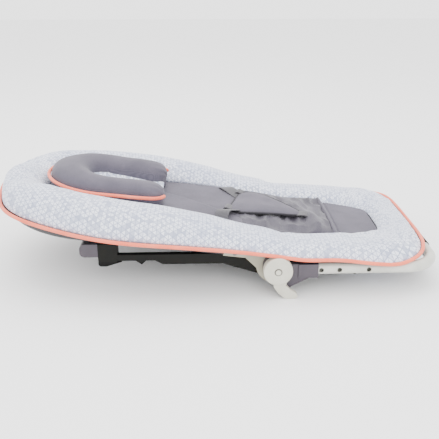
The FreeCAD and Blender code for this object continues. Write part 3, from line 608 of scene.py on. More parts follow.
@dataclass(frozen=True)
class PrintedJersey:
    """Brushed cotton jersey with a small print of triangles in grey-blue on near white.

    It looks matt and soft, and from a step away the print is a cool speckle that turns with the
    padding. The print sits on the piece's own UV map, in metres.
    """

    name: str = "printed_cotton_jersey"
    ground: str = "cdd2e2"
    ground_light: str = "e6e9f2"
    ink: str = "5f6a90"
    pitch: float = 0.0072
    roughness: float = 0.92
    sheen: float = 0.35
    shine: float = 0.2

    def build(self) -> bpy.types.Material:
        """Make the material.

        Returns:
            The material.
        """
        material, tree, shader = start_material(self.name)
        where = add(tree, "TexCoord").outputs["UV"]
        size = 1 / self.pitch
        grid = add(tree, "VectorMath", {0: where, 3: size}, operation="SCALE").outputs[0]
        split = add(tree, "SeparateXYZ", {0: grid})
        # three families of bands, 60 degrees apart, cut the plane into triangles of 8 mm
        bands = []
        for turn in (0, 60, 120):
            cos, sin = math.cos(math.radians(turn)), math.sin(math.radians(turn))
            part = add(tree, "Math", {0: split.outputs[1], 1: sin}, operation="MULTIPLY").outputs[0]
            line = add(tree, "Math", {0: split.outputs[0], 1: cos, 2: part},
                       operation="MULTIPLY_ADD").outputs[0]
            bands.append(line)
        cells = [add(tree, "Math", {0: b}, operation="FLOOR").outputs[0] for b in bands]
        cell = add(tree, "CombineXYZ", {0: cells[0], 1: cells[1], 2: cells[2]}).outputs[0]
        pick = add(tree, "TexWhiteNoise", {"Vector": cell}, noise_dimensions="3D").outputs["Value"]
        near = None
        for b in bands:
            frac = add(tree, "Math", {0: b}, operation="FRACT").outputs[0]
            off = add(tree, "Math", {0: frac, 1: 0.5}, operation="SUBTRACT").outputs[0]
            dist = add(tree, "Math", {0: off}, operation="ABSOLUTE").outputs[0]
            near = dist if near is None else add(tree, "Math", {0: near, 1: dist},
                                                 operation="MAXIMUM").outputs[0]
        line = add(tree, "MapRange", {0: near, 1: 0.40, 2: 0.47, 4: 0.75}).outputs[0]
        chosen = add(tree, "MapRange", {0: pick, 1: 0.45, 2: 0.98, 4: 0.6}).outputs[0]
        inked = add(tree, "Math", {0: line, 1: chosen}, operation="MAXIMUM").outputs[0]
        fibre = add(tree, "TexNoise", {"Vector": where, "Scale": 900.0, "Detail": 3.0}).outputs["Fac"]
        patch = add(tree, "TexNoise", {"Vector": where, "Scale": 14.0, "Detail": 4.0}).outputs["Fac"]
        soft = add(tree, "Math", {0: fibre, 1: 0.5, 2: patch}, operation="MULTIPLY_ADD").outputs[0]
        ground = ramp(tree, soft, ((0.45, self.ground), (0.95, self.ground_light)))
        colour = add(tree, "Mix", {0: inked, 6: ground, 7: linear(self.ink)}, data_type="RGBA")
        tree.links.new(colour.outputs[2], shader.inputs["Base Color"])
        # knit ribs of 1.2 mm, drawn about three times as coarse as real ones so that they show
        knit = add(tree, "TexWave", {"Vector": where, "Scale": 260.0, "Distortion": 2.0},
                   wave_type="BANDS", bands_direction="DIAGONAL").outputs["Fac"]
        height = add(tree, "Math", {0: knit, 1: 0.4, 2: fibre}, operation="MULTIPLY_ADD").outputs[0]
        bump = add(tree, "Bump", {"Height": height, "Strength": 0.25, "Distance": 0.0005})
        tree.links.new(bump.outputs[0], shader.inputs["Normal"])
        shader.inputs["Roughness"].default_value = self.roughness
        shader.inputs["Sheen Weight"].default_value = self.sheen
        shader.inputs["Specular IOR Level"].default_value = self.shine
        return material


@dataclass(frozen=True)
class Hard:
    """A moulded, painted or plated hard surface with a fine grain and faint mottling.

    The grain is the spark texture of a mould or the orange peel of a powder coat, 0.6 to 0.9 mm.
    """

    name: str
    colour: str
    worn: str
    roughness: float
    grain: float = 0.0006
    bump: float = 0.12
    metallic: float = 0.0
    coat: float = 0.0
    shine: float = 0.5
    ring: float = 0.0
    ring_width: float = 0.0016
    ring_colour: str = "3a3530"

    def build(self) -> bpy.types.Material:
        """Make the material.

        Returns:
            The material.
        """
        material, tree, shader = start_material(self.name)
        where = add(tree, "TexCoord").outputs["Object"]
        grain = add(tree, "TexNoise", {"Vector": where, "Scale": 1 / self.grain, "Detail": 2.0})
        mottle = add(tree, "TexNoise", {"Vector": where, "Scale": 35.0, "Detail": 5.0})
        mixed = add(tree, "Math", {0: grain.outputs["Fac"], 1: 0.35, 2: mottle.outputs["Fac"]},
                    operation="MULTIPLY_ADD").outputs[0]
        colour = ramp(tree, mixed, ((0.5, self.colour), (0.95, self.worn)))
        if self.ring:
            colour = self.darken_ring(tree, where, colour)
        tree.links.new(colour, shader.inputs["Base Color"])
        rough = add(tree, "MapRange", {0: mottle.outputs["Fac"], 1: 0.3, 2: 0.7,
                                       3: self.roughness - 0.07, 4: self.roughness + 0.08})
        tree.links.new(rough.outputs[0], shader.inputs["Roughness"])
        bump = add(tree, "Bump", {"Height": grain.outputs["Fac"], "Strength": self.bump,
                                  "Distance": 0.0002})
        tree.links.new(bump.outputs[0], shader.inputs["Normal"])
        shader.inputs["Metallic"].default_value = self.metallic
        shader.inputs["Coat Weight"].default_value = self.coat
        shader.inputs["Specular IOR Level"].default_value = self.shine
        return material

    def darken_ring(self, tree: bpy.types.NodeTree, where: bpy.types.NodeSocket,
                    colour: bpy.types.NodeSocket) -> bpy.types.NodeSocket:
        """Draw the shadowed groove of a cap round the hub axis.

        Args:
            tree: the material's node tree.
            where: the place on the piece.
            colour: the colour of the surface.

        Returns:
            The colour with the groove in it.
        """
        away = add(tree, "VectorMath", {0: where, 1: tuple(HUB)}, operation="SUBTRACT").outputs[0]
        flat = add(tree, "VectorMath", {0: away, 1: (1.0, 0.0, 1.0)}, operation="MULTIPLY").outputs[0]
        length = add(tree, "VectorMath", {0: flat}, operation="LENGTH").outputs["Value"]
        off = add(tree, "Math", {0: length, 1: self.ring}, operation="SUBTRACT").outputs[0]
        near = add(tree, "Math", {0: off}, operation="ABSOLUTE").outputs[0]
        groove = add(tree, "MapRange", {0: near, 1: self.ring_width, 2: 0.0006, 4: 0.9}).outputs[0]
        mixed = add(tree, "Mix", {0: groove, 6: colour, 7: linear(self.ring_colour)},
                    data_type="RGBA")
        return mixed.outputs[2]


@dataclass
class Finishes:
    """Every finish of the seat, each made once."""

    # the cover of the ring and the lining of the pillow
    jersey: bpy.types.Material = field(default_factory=lambda: PrintedJersey().build())
    # satin polyester drawn over a cord: warm, with a soft bright line along its top
    coral: bpy.types.Material = field(default_factory=lambda: Weave(
        "coral_satin_piping", "d9573c", "ec6f52", "f98f74", thread=0.0011, bump=0.15,
        roughness=0.5, sheen=0.25, sheen_tint="ffe0d8", on_uv=True).build())
    # melange polyester, woven of two greys of yarn: dry, flecked and matt
    pad: bpy.types.Material = field(default_factory=lambda: Weave(
        "charcoal_melange_polyester", "46434e", "54505b", "635e6a", thread=0.0012, bump=0.25,
        roughness=0.78, sheen=0.12).build())
    # satin-weave lining: smooth and darker, so that its folds catch the light
    satin: bpy.types.Material = field(default_factory=lambda: Weave(
        "dark_grey_lining_satin", "33303a", "45414b", "5a5661", thread=0.0009, bump=0.1,
        roughness=0.42, sheen=0.12).build())
    # woven tape: a thin, nearly black, matt line round the pad
    binding: bpy.types.Material = field(default_factory=lambda: Weave(
        "dark_grey_binding_tape", "1d1b20", "28262b", "343137", thread=0.001, bump=0.2,
        roughness=0.7, sheen=0.08, on_uv=True).build())
    # woven polypropylene: coarse ribs with a dull plastic gloss
    webbing: bpy.types.Material = field(default_factory=lambda: Weave(
        "grey_polypropylene_webbing", "3a383c", "4c4a4e", "605e63", thread=0.0022, bump=0.6,
        roughness=0.6, sheen=0.15).build())
    # spun-bonded non-woven: flat and dark, with no shine
    under: bpy.types.Material = field(default_factory=lambda: Weave(
        "grey_nonwoven_underside", "1d1b1d", "292628", "343133", thread=0.0016, bump=0.3,
        roughness=0.9, sheen=0.1).build())
    # injection-moulded polypropylene: an even warm grey, half matt, with a shadow round its cap
    light_plastic: bpy.types.Material = field(default_factory=lambda: Hard(
        "warm_grey_moulded_polypropylene", "b5b2a4", "c6c3b6", 0.48, ring=0.0062).build())
    # moulded nylon: a darker taupe behind the light cover, half matt
    bracket: bpy.types.Material = field(default_factory=lambda: Hard(
        "taupe_moulded_nylon", "96917f", "a8a392", 0.5).build())
    # powder coat on steel: pale, with the soft streak of light of a painted tube
    tube: bpy.types.Material = field(default_factory=lambda: Hard(
        "light_grey_powder_coated_steel", "b4b5ac", "c8c8c0", 0.36, grain=0.0009, bump=0.08,
        coat=0.15).build())
    # dark powder coat: hardly seen, inside the cover
    frame_tube: bpy.types.Material = field(default_factory=lambda: Hard(
        "dark_powder_coated_steel", "29292b", "363638", 0.45).build())
    # moulded nylon with a purple cast: dark, with a broad dull highlight
    dark_plastic: bpy.types.Material = field(default_factory=lambda: Hard(
        "aubergine_grey_moulded_nylon", "37313a", "453f47", 0.5).build())
    # glass-filled nylon: nearly black and dull, so that its teeth read by outline; on the rear frame
    # this near black is partly the nylon's own dark colour and partly painted shade, the shade the
    # frame lies in under the seat
    black_plastic: bpy.types.Material = field(default_factory=lambda: Hard(
        "olive_black_moulded_nylon", "0a0a08", "161612", 0.6, shine=0.18).build())
    # moulded rubber: black and dead matt, a little rough to the eye
    rubber: bpy.types.Material = field(default_factory=lambda: Hard(
        "black_moulded_rubber", "080807", "111110", 0.8, bump=0.3, shine=0.2).build())
    # zinc-plated steel: grey metal, softly reflecting
    steel: bpy.types.Material = field(default_factory=lambda: Hard(
        "dark_zinc_plated_steel", "5f5f60", "7b7b7c", 0.35, metallic=1.0).build())
    # natural acetal: milky white and slightly waxy
    washer: bpy.types.Material = field(default_factory=lambda: Hard(
        "natural_acetal_washer", "d6d6d0", "e4e4df", 0.4).build())

    def for_node(self, node: str) -> bpy.types.Material:
        """The finish of one of the frame's own nodes.

        Args:
            node: the node's name.

        Returns:
            Its material.
        """
        # the rear frame ("rear_") takes the near-black nylon, whose darkness is partly painted shade
        table = (("lever_spring", self.steel), ("lever", self.light_plastic),
                 ("backrest_bracket", self.bracket), ("seat_bracket", self.bracket),
                 ("hub_pin", self.steel), ("hub_washers", self.washer),
                 ("backrest_rivets", self.steel), ("leg_rivets", self.black_plastic),
                 ("leg_socket", self.dark_plastic), ("front_leg_tube", self.tube),
                 ("front_foot_grip", self.rubber), ("rear_foot", self.rubber),
                 ("rear_crossbar", self.dark_plastic), ("rear_", self.black_plastic),
                 ("seat_tube", self.frame_tube), ("backrest_tube", self.frame_tube))
        return next((finish for start, finish in table if node.startswith(start)), self.pad)


# --- the padded ring -------------------------------------------------------------------------

# each profile gives (x, metres): the piping's height, the crest above it, half of the outside
# width, half of the hollow's width, the hollow edge above the piping, and how far the crest leans
RING_LINE = Profile(((-0.44, 0.149), (-0.34, 0.1405), (-0.2, 0.1215), (-0.06, 0.108),
                     (0.06, 0.0935), (0.117, 0.0845), (0.16, 0.0765), (0.23, 0.0735),
                     (0.3, 0.066), (0.345, 0.0635), (0.372, 0.067), (0.39, 0.0695),
                     (0.42, 0.077)))
RING_CREST = Profile(((-0.44, 0.017), (-0.41, 0.032), (-0.375, 0.046), (-0.33, 0.052),
                      (-0.29, 0.052), (-0.2, 0.0525), (-0.13, 0.050), (-0.06, 0.042),
                      (-0.007, 0.034), (0.034, 0.026), (0.067, 0.022), (0.106, 0.0195),
                      (0.12, 0.0175), (0.134, 0.0145), (0.16, 0.0165), (0.2, 0.0175),
                      (0.25, 0.0185), (0.3, 0.0195), (0.345, 0.0205), (0.378, 0.0175),
                      (0.42, 0.006)))
RING_HALF = Profile(((-0.44, 0.2285), (-0.1, 0.222), (0.1, 0.215), (0.25, 0.2135),
                     (0.34, 0.2285), (0.42, 0.231)))
HOLLOW_HALF = Profile(((-0.36, 0.098), (-0.25, 0.102), (0.0, 0.107), (0.2, 0.102),
                       (0.3, 0.089), (0.36, 0.084)))
INNER_RISE = Profile(((-0.36, 0.012), (-0.05, 0.012), (0.01, 0.010), (0.1, 0.004),
                      (0.2, -0.001), (0.3, -0.001), (0.35, 0.0)))
SECTION_LEAN = Profile(((-0.44, 0.93), (0.0, 0.95), (0.15, 1.05), (0.42, 1.1)))
# the hollow's plan: its middle, its reach to head and foot, and how square each end is
HOLLOW_MIDDLE = -0.0075
HOLLOW_REACH = (0.3325, 0.3525)
HOLLOW_POWER = (2.8, 6.0)
# the piping lifts by this much in the middle of the head end
HEAD_RISE = 0.016
HIP_SEAM = 0.133


def piping_level(plan: np.ndarray) -> np.ndarray:
    """Height of the ring's piping, which lifts in the middle of the head end.

    Args:
        plan: places (x, y) on the outside edge.

    Returns:
        Heights in metres.
    """
    head = np.clip((-plan[:, 0] - 0.36) / 0.04, 0, 1)
    return RING_LINE.at(plan[:, 0]) + HEAD_RISE * head * np.exp(-(plan[:, 1] / 0.06) ** 2)


@dataclass
class Ring:
    """The padded ring that runs all the way round back and seat, and the piping under its edge."""

    finishes: Finishes
    sections: int = 420
    sides: int = 48
    piping: float = 0.0036
    piping_points: int = 900
    top_share: float = 0.62
    sag: float = 0.004
    gather: float = 0.0022
    seam_press: float = 0.002
    puff_cap: float = 0.003
    map_radius: float = 0.042

    def outer(self) -> np.ndarray:
        """Plan points of the outside edge."""
        return superellipse(-0.0085, (0.4135, 0.4205), RING_HALF, (2.75, 5.0), self.sections)

    def inner(self) -> np.ndarray:
        """Find the hollow's edge, a point of it across from each point of the outside.

        Returns:
            Plan points, as many as the outside edge has.
        """
        outer = self.outer()
        line = superellipse(HOLLOW_MIDDLE, HOLLOW_REACH, HOLLOW_HALF, HOLLOW_POWER, 1200)
        aim = np.stack([outer[:, 0] * 0.80, outer[:, 1] * 0.48], axis=1)
        picked = np.array([line[np.argmin(((line - target) ** 2).sum(1))] for target in aim])
        for _ in range(12):
            picked = (np.roll(picked, 1, axis=0) + 2 * picked + np.roll(picked, -1, axis=0)) / 4
        return picked

    def rings(self) -> np.ndarray:
        """Sections of the ring, from its piping over the crest and back underneath.

        Returns:
            Array of sections, sides and coordinates.
        """
        outer, inner = self.outer(), self.inner()
        t = np.linspace(0, 1, self.sides, endpoint=False)
        top = t < self.top_share
        u = np.where(top, t / self.top_share, (t - self.top_share) / (1 - self.top_share))
        lean = u[None] ** SECTION_LEAN.at(outer[:, 0][:, None])
        across = 0.35 * u + 0.65 * (0.5 - 0.5 * np.cos(math.pi * u))
        over = np.where(top, across, 1 - u)
        dome = np.where(top[None], np.sin(math.pi * np.clip(lean, 0, 1)) ** 0.9, 0.0)
        bulge = np.where(top, 0.0, np.sin(math.pi * u))
        plan = outer[:, None] * (1 - over)[None, :, None] + inner[:, None] * over[None, :, None]
        middle = (outer + inner) / 2
        line = piping_level(outer)
        level = RING_LINE.at(inner[:, 0])
        height = RING_CREST.at(middle[:, 0] * 1.02)
        base = (line[:, None] * (1 - over)[None] + level[:, None] * over[None]
                + INNER_RISE.at(inner[:, 0])[:, None] * (over ** 4)[None])
        rise = height[:, None] * dome - self.sag * bulge[None]
        return np.dstack([plan, base + rise + self.gathers(outer, over, dome)])

    def gathers(self, outer: np.ndarray, over: np.ndarray, dome: np.ndarray) -> np.ndarray:
        """Small radial gathers where the cover is eased round the corners.

        Args:
            outer: plan points of the outside edge.
            over: how far each side of a section lies towards the hollow.
            dome: how high each side of a section lies.

        Returns:
            Height to add at each section and side.
        """
        step = np.linalg.norm(outer - np.roll(outer, 1, axis=0), axis=1)
        away = np.cumsum(step)
        corner = np.clip((np.abs(outer[:, 0]) - 0.27) / 0.1, 0, 1)
        wave = np.sin(away / 0.0125) * 0.5 + np.sin(away / 0.0083 + 1.7) * 0.5
        edge = np.exp(-((over - 0.86) / 0.16) ** 2) + 0.8 * np.exp(-((over - 0.1) / 0.09) ** 2)
        return (self.gather * corner * wave)[:, None] * (edge[None] * (dome > 0))

    def middle_path(self) -> np.ndarray:
        """Find the line that the print's map is laid round.

        Returns:
            Points along the middle of the padding.
        """
        plan = (self.outer() + self.inner()) / 2
        z = RING_LINE.at(plan[:, 0]) + RING_CREST.at(plan[:, 0]) * 0.35
        return np.column_stack([plan, z])

    def build_cushion(self) -> None:
        """Make the padding."""
        ring = skin("ring_cushion", self.rings(), closed=True)
        puff(ring, cap=self.puff_cap)
        self.press_seams(ring)
        smooth(ring)
        paint_uv(ring, self.middle_path(), True, self.map_radius)
        finish_piece(ring, self.finishes.jersey, None,
                     ("backrest_bolster", "seat_bolster", "hip_bolster_left",
                      "hip_bolster_right"))

    def press_seams(self, ring: bpy.types.Object) -> None:
        """Press in the cross seams at the hips and lay soft creases over the padding.

        Args:
            ring: the padding.
        """
        def move(co: np.ndarray, normals: np.ndarray) -> np.ndarray:
            """The shift of each point from all places and normals."""
            seam = np.exp(-((co[:, 0] - HIP_SEAM) / 0.0045) ** 2) * (np.abs(co[:, 1]) > 0.1)
            top = np.clip(normals[:, 2] + 0.35, 0, 1)
            shift = -self.seam_press * seam * top
            foot = np.clip((co[:, 0] - 0.26) / 0.08, 0, 1) * np.clip(np.abs(co[:, 1]) / 0.08, 0, 1)
            head = np.clip((-co[:, 0] - 0.33) / 0.06, 0, 1)
            fold = noise_at(co * np.array([1.0, 2.6, 1.0]), 0.03, 1.0)
            broad = noise_at(co, 0.085, 2.0)
            shift += top * (0.0016 * foot * fold + 0.0012 * head * fold + 0.0016 * broad)
            return normals * shift[:, None]
        shift_points(ring, move)

    def build_piping(self) -> None:
        """Make the satin piping along the bottom edge."""
        plan = resample(self.outer(), self.piping_points, closed=True)
        path = np.column_stack([plan * 1.004, piping_level(plan) - 0.0005])
        cord = tube("ring_piping", path, self.piping, closed=True, sides=12)
        finish_piece(cord, self.finishes.coral, None,
                     ("backrest_piping", "seat_piping"))

    def build(self) -> None:
        """Make the padding and its piping."""
        self.build_cushion()
        self.build_piping()


# --- underside -------------------------------------------------------------------------------


# how far out each row of the cover lies, 1 at the piping
COVER_SHARES = (1.0, 0.985, 0.965, 0.945, 0.925, 0.905, 0.88, 0.85, 0.8, 0.7, 0.55, 0.4, 0.25, 0.12)
# how far the cover drops below the piping, against the distance inwards as a share
DROP_AT = (0, 0.03, 0.06, 0.1, 0.135, 0.4, 1.0)
DROP = (0.001, 0.007, 0.010, 0.0135, 0.0155, 0.012, 0.012)


@dataclass
class Underside:
    """The thin dark cover stretched under the ring, sagging below its edge."""

    finishes: Finishes
    ring: Ring
    thickness: float = 0.0016
    points: int = 260
    seat_floor: float = 0.0637

    def build(self) -> None:
        """Make the cover as one sheet, sagging below the ring's edge."""
        outer = resample(self.ring.outer(), self.points, closed=True)
        rows = [np.column_stack([outer * share, self.height(outer * share, share)])
                for share in COVER_SHARES]
        points = np.vstack(rows + [np.array([[0.0, 0.0, self.height(np.zeros((1, 2)), 0)[0]]])])
        n, faces = len(outer), []
        for i in range(len(rows) - 1):
            for k in range(n):
                a, b = i * n + k, i * n + (k + 1) % n
                faces.append((a, a + n, b + n, b))
        last = (len(rows) - 1) * n
        faces += [(last + k, len(points) - 1, last + (k + 1) % n) for k in range(n)]
        cover = mesh_object("underside_cover", points, faces)
        apply_modifier(cover, "SOLIDIFY", thickness=self.thickness, offset=0)
        finish_piece(cover, self.finishes.under, None,
                     ("backrest_sling", "seat_sling"))

    def height(self, plan: np.ndarray, share: float) -> np.ndarray:
        """How high the cover lies.

        Args:
            plan: places under the ring.
            share: how far out they lie, 1 at the piping.

        Returns:
            Heights in metres.
        """
        x = plan[:, 0]
        level = piping_level(plan)
        drop = np.interp(1 - share, DROP_AT, DROP)
        slim = 1 - 0.6 * np.clip((-x - 0.33) / 0.07, 0, 1)
        near_hub = np.exp(-((x - 0.118) / 0.05) ** 4)
        low = level - drop * slim * (1 - 0.75 * near_hub)
        return np.where(x > 0.15, np.maximum(np.minimum(low, level - 0.001), self.seat_floor), low)


# --- inner pads ------------------------------------------------------------------------------


# where the back pad's lapped seam runs: (x, y)
BACK_SEAM = Profile(((-0.33, 0.085), (-0.2, 0.052), (-0.094, 0.020), (-0.057, 0.003),
                     (-0.001, -0.037), (0.019, -0.052), (0.07, -0.095)))


@dataclass
class InnerPads:
    """The dark pads inside the ring: the long back pad, the loose hip fabric, the foot panel."""

    finishes: Finishes
    tuck: float = 0.012
    back_lift: float = 0.0115
    back_crown: float = 0.003
    lap: float = 0.003
    seam_depth: float = 0.0022
    hip_lift: float = 0.0095
    folds: float = 0.004
    ridges: float = 0.0075
    hump: float = 0.013
    foot_lift: float = 0.003
    foot_crown: float = 0.0035
    lip: float = 0.011

    def outline(self, x: np.ndarray, gap: float) -> np.ndarray:
        """Half of the pads' width inside the ring.

        Args:
            x: places along the seat.
            gap: how far the pad reaches under the ring's inner edge; negative stays short.

        Returns:
            Half widths.
        """
        n = np.where(x < 0, *HOLLOW_POWER)
        reach = np.where(x < HOLLOW_MIDDLE, *HOLLOW_REACH) + gap
        t = np.clip(np.abs((x - HOLLOW_MIDDLE) / reach), 0, 1)
        return (HOLLOW_HALF.at(x) + gap) * (1 - t ** n) ** (1 / n)

    def slab(self, name: str, first: float, last: float, top: Callable[[np.ndarray], np.ndarray],
             columns: int, rows: int) -> bpy.types.Object:
        """A closed pad whose top follows a rule.

        Args:
            name: the piece's name.
            first: where it starts along X.
            last: where it ends along X.
            top: gives the heights of its top from plan points.
            columns: how many points it has along X.
            rows: how many points it has across.

        Returns:
            The mesh.
        """
        xs = np.linspace(first, last, columns)
        half = np.maximum(self.outline(xs, self.tuck), 0.004)
        across = np.sin(np.linspace(-1, 1, rows) * math.pi / 2)
        gx = np.repeat(xs[:, None], rows, axis=1)
        gy = half[:, None] * across[None]
        plan = np.stack([gx, gy], axis=2).reshape(-1, 2)
        high = top(plan).reshape(columns, rows)
        edge = 1 - np.abs(across) ** 40
        ends = np.clip(np.minimum(xs - first, last - xs) / 0.004, 0, 1) ** 0.5
        low = RING_LINE.at(plan[:, 0]).reshape(columns, rows) - 0.002
        body = low + (high - low) * edge[None] * ends[:, None]
        upper = np.dstack([gx, gy, body])
        lower = np.dstack([gx, gy, low - 0.001])
        loops = np.concatenate([upper, lower[:, ::-1]], axis=1)
        return skin(name, loops, closed=False)

    def build_back(self) -> None:
        """The long pad of the back, with its one lapped seam."""
        def top(plan: np.ndarray) -> np.ndarray:
            """The height of the pad's top at each place: crowned, with one piece lapped over."""
            x, y = plan[:, 0], plan[:, 1]
            base = RING_LINE.at(x) + self.back_lift
            crown = self.back_crown * (1 - (y / 0.11) ** 2)
            seam_y = BACK_SEAM.at(x)
            lap = self.lap / (1 + np.exp(-(seam_y - y) / 0.0006))
            groove = -self.seam_depth * np.exp(-((y - seam_y) / 0.0018) ** 2)
            pts = np.column_stack([x, y, base])
            return base + crown + lap + groove + 0.0012 * noise_at(pts, 0.06, 4.0)
        pad = self.slab("back_pad", -0.338, 0.06, top, 200, 110)
        finish_piece(pad, self.finishes.pad, None, ("backrest_insert",))

    def build_hip(self) -> None:
        """The loose lining fabric over the hip, fallen into folds."""
        def top(plan: np.ndarray) -> np.ndarray:
            """The height of the lining at each place: creased, with one arched fold."""
            x, y = plan[:, 0], plan[:, 1]
            base = RING_LINE.at(x) + self.hip_lift
            pts = np.column_stack([x, y, base])
            folds = noise_at(pts * np.array([1.7, 0.75, 1.0]), 0.03, 5.0)
            ridges = 1 - np.abs(noise_at(pts * np.array([1.6, 0.6, 1.0]), 0.045, 6.0)) * 2
            arch = x - 0.205 + 3.2 * (y + 0.075) ** 2
            hump = self.hump * np.exp(-(arch / 0.013) ** 2) * np.exp(-((y + 0.06) / 0.07) ** 2)
            sides = np.clip((0.104 - np.abs(y)) / 0.02, 0, 1)
            ends = np.clip((x - 0.04) / 0.02, 0, 1)
            return base + (self.folds * folds + self.ridges * ridges) * sides * ends + hump
        pad = self.slab("hip_lining", 0.042, 0.24, top, 190, 120)
        finish_piece(pad, self.finishes.satin, None, ("hip_fabric",))

    def build_foot(self) -> None:
        """The firm panel under the child's legs."""
        def top(plan: np.ndarray) -> np.ndarray:
            """The height of the panel at each place: crowned, with a raised lip at the hip."""
            x, y = plan[:, 0], plan[:, 1]
            base = RING_LINE.at(x) + self.foot_lift
            lip = self.lip * np.exp(-((x - 0.2405) / 0.006) ** 2)
            groove = -0.002 * np.exp(-((x - 0.2525) / 0.002) ** 2)
            return base + self.foot_crown * (1 - (y / 0.11) ** 2) + lip + groove
        pad = self.slab("foot_panel", 0.234, 0.343, top, 100, 90)
        finish_piece(pad, self.finishes.pad, "seat", ("seat_insert",))

    def build(self) -> None:
        """Make the three pads."""
        self.build_back()
        self.build_hip()
        self.build_foot()


# --- head pillow -----------------------------------------------------------------------------


@dataclass
class HeadPillow:
    """Horseshoe pillow with piping along its outer edge and a light lining in its hollow."""

    finishes: Finishes
    lobe_half: float = 0.030
    middle_half: float = 0.075
    start: float = 0.222
    tip: float = 0.415
    base: float = 0.0445
    height: float = 0.058
    seam: float = 0.075
    piping: float = 0.0034
    piping_out: float = 0.004
    lining_half: float = 0.046
    puff_cap: float = 0.004
    pressure: float = 5.0
    points: int = 120
    sides: int = 36

    def middle(self) -> np.ndarray:
        """The pillow's middle line: along, across and up in the back's frame.

        Returns:
            Points from one lobe's end round the crown to the other's.
        """
        radius = self.middle_half
        straight = np.linspace(self.start, self.tip - radius, 40)
        angle = np.linspace(-math.pi / 2, math.pi / 2, 50)
        draw_in = 0.009 * np.clip(1 - (straight - self.start) / 0.07, 0, 1) ** 2
        leg = np.column_stack([straight, draw_in - radius])
        crown = np.column_stack([self.tip - radius + radius * np.cos(angle), radius * np.sin(angle)])
        back = np.column_stack([straight[::-1], (radius - draw_in)[::-1]])
        return resample(np.vstack([leg, crown, back]), self.points, closed=False)

    def half_width(self, share: np.ndarray) -> np.ndarray:
        """Half of the pillow's width along its middle line.

        Args:
            share: place along the line, 0 to 1.

        Returns:
            Half widths, fuller at the crown and drawn in at the ends.
        """
        crown = np.exp(-((share - 0.5) / 0.2) ** 2)
        ends = np.clip(np.minimum(share, 1 - share) / 0.07, 0, 1)
        return (self.lobe_half + 0.010 * crown) * np.sqrt(np.clip(1 - (1 - ends) ** 2, 0.02, 1))

    def build_pillow(self) -> None:
        """Make the padding."""
        middle = self.middle()
        share = np.linspace(0, 1, self.points)
        half = self.half_width(share)
        high = self.height * (0.55 + 0.45 * half / half.max())
        side = sideways(middle)
        turn = np.linspace(0, 2 * math.pi, self.sides, endpoint=False)
        cos = np.sign(np.cos(turn)) * np.abs(np.cos(turn)) ** 0.85
        sin = np.sign(np.sin(turn)) * np.abs(np.sin(turn)) ** 0.85
        rings = np.zeros((self.points, self.sides, 3))
        for i in range(self.points):
            for k in range(self.sides):
                plan = middle[i] + side[i] * cos[k] * half[i]
                up = self.base + high[i] * (0.5 + 0.5 * sin[k])
                rings[i, k] = on_back(plan[0], plan[1], up)
        pillow = skin("head_pillow_pad", rings, closed=False)
        puff(pillow, cap=self.puff_cap, pressure=self.pressure)
        self.gather_ends(pillow)
        smooth(pillow)
        finish_piece(pillow, self.finishes.pad, "backrest", ("head_pillow",))

    def gather_ends(self, pillow: bpy.types.Object) -> None:
        """Draw the lobe ends into small gathers and lay soft creases over the rest.

        Args:
            pillow: the padding.
        """
        end = on_back(self.start, 0, self.base).x

        def move(co: np.ndarray, normals: np.ndarray) -> np.ndarray:
            """The shift of each point from all places and normals."""
            near = np.clip(1 - (end - co[:, 0]) / 0.03, 0, 1)
            angle = np.arctan2(co[:, 2] - 0.145, np.abs(co[:, 1]) - self.middle_half)
            pleats = 0.0013 * near * np.sin(angle * 17)
            broad = 0.0016 * noise_at(co, 0.05, 8.0)
            return normals * (pleats + broad)[:, None]
        shift_points(pillow, move)

    def build_piping(self) -> None:
        """The satin piping along the pillow's outer edge."""
        middle = self.middle()
        half = self.half_width(np.linspace(0, 1, self.points))
        plan = (middle + sideways(middle) * (half + self.piping_out)[:, None])[1:-1]
        path = np.array([on_back(p[0], p[1], self.seam) for p in plan])
        path = resample(path, 260, closed=False)
        cord = tube("pillow_piping", path, self.piping, closed=False, sides=12)
        finish_piece(cord, self.finishes.coral, "backrest")

    def build_lining(self) -> None:
        """The light printed lining that shows inside the horseshoe."""
        rows, columns = 24, 60
        along = np.linspace(self.start + 0.004, self.tip - 0.034, columns)
        half = self.lining_half * np.sqrt(np.clip((self.tip - 0.033 - along) / 0.045, 0, 1))
        rings = np.zeros((columns, 2 * rows, 3))
        across = np.linspace(-1, 1, rows)
        for i, a in enumerate(along):
            width = max(half[i], 0.002)
            rise = 0.016 + 0.017 * (a - self.start) / (self.tip - self.start)
            for k, t in enumerate(across):
                rings[i, k] = on_back(a, t * width, self.base + rise * (1 - 0.3 * (1 - t * t)))
                rings[i, 2 * rows - 1 - k] = on_back(a, t * width, self.base - 0.001)
        lining = skin("pillow_lining", rings, closed=False)
        path = np.array([on_back(a, 0, self.base - 0.05) for a in along])
        paint_uv(lining, path, False, 0.05)
        finish_piece(lining, self.finishes.jersey, "backrest")

    def build(self) -> None:
        """Make the pillow, its piping and its lining."""
        self.build_pillow()
        self.build_piping()
        self.build_lining()


# --- harness ---------------------------------------------------------------------------------


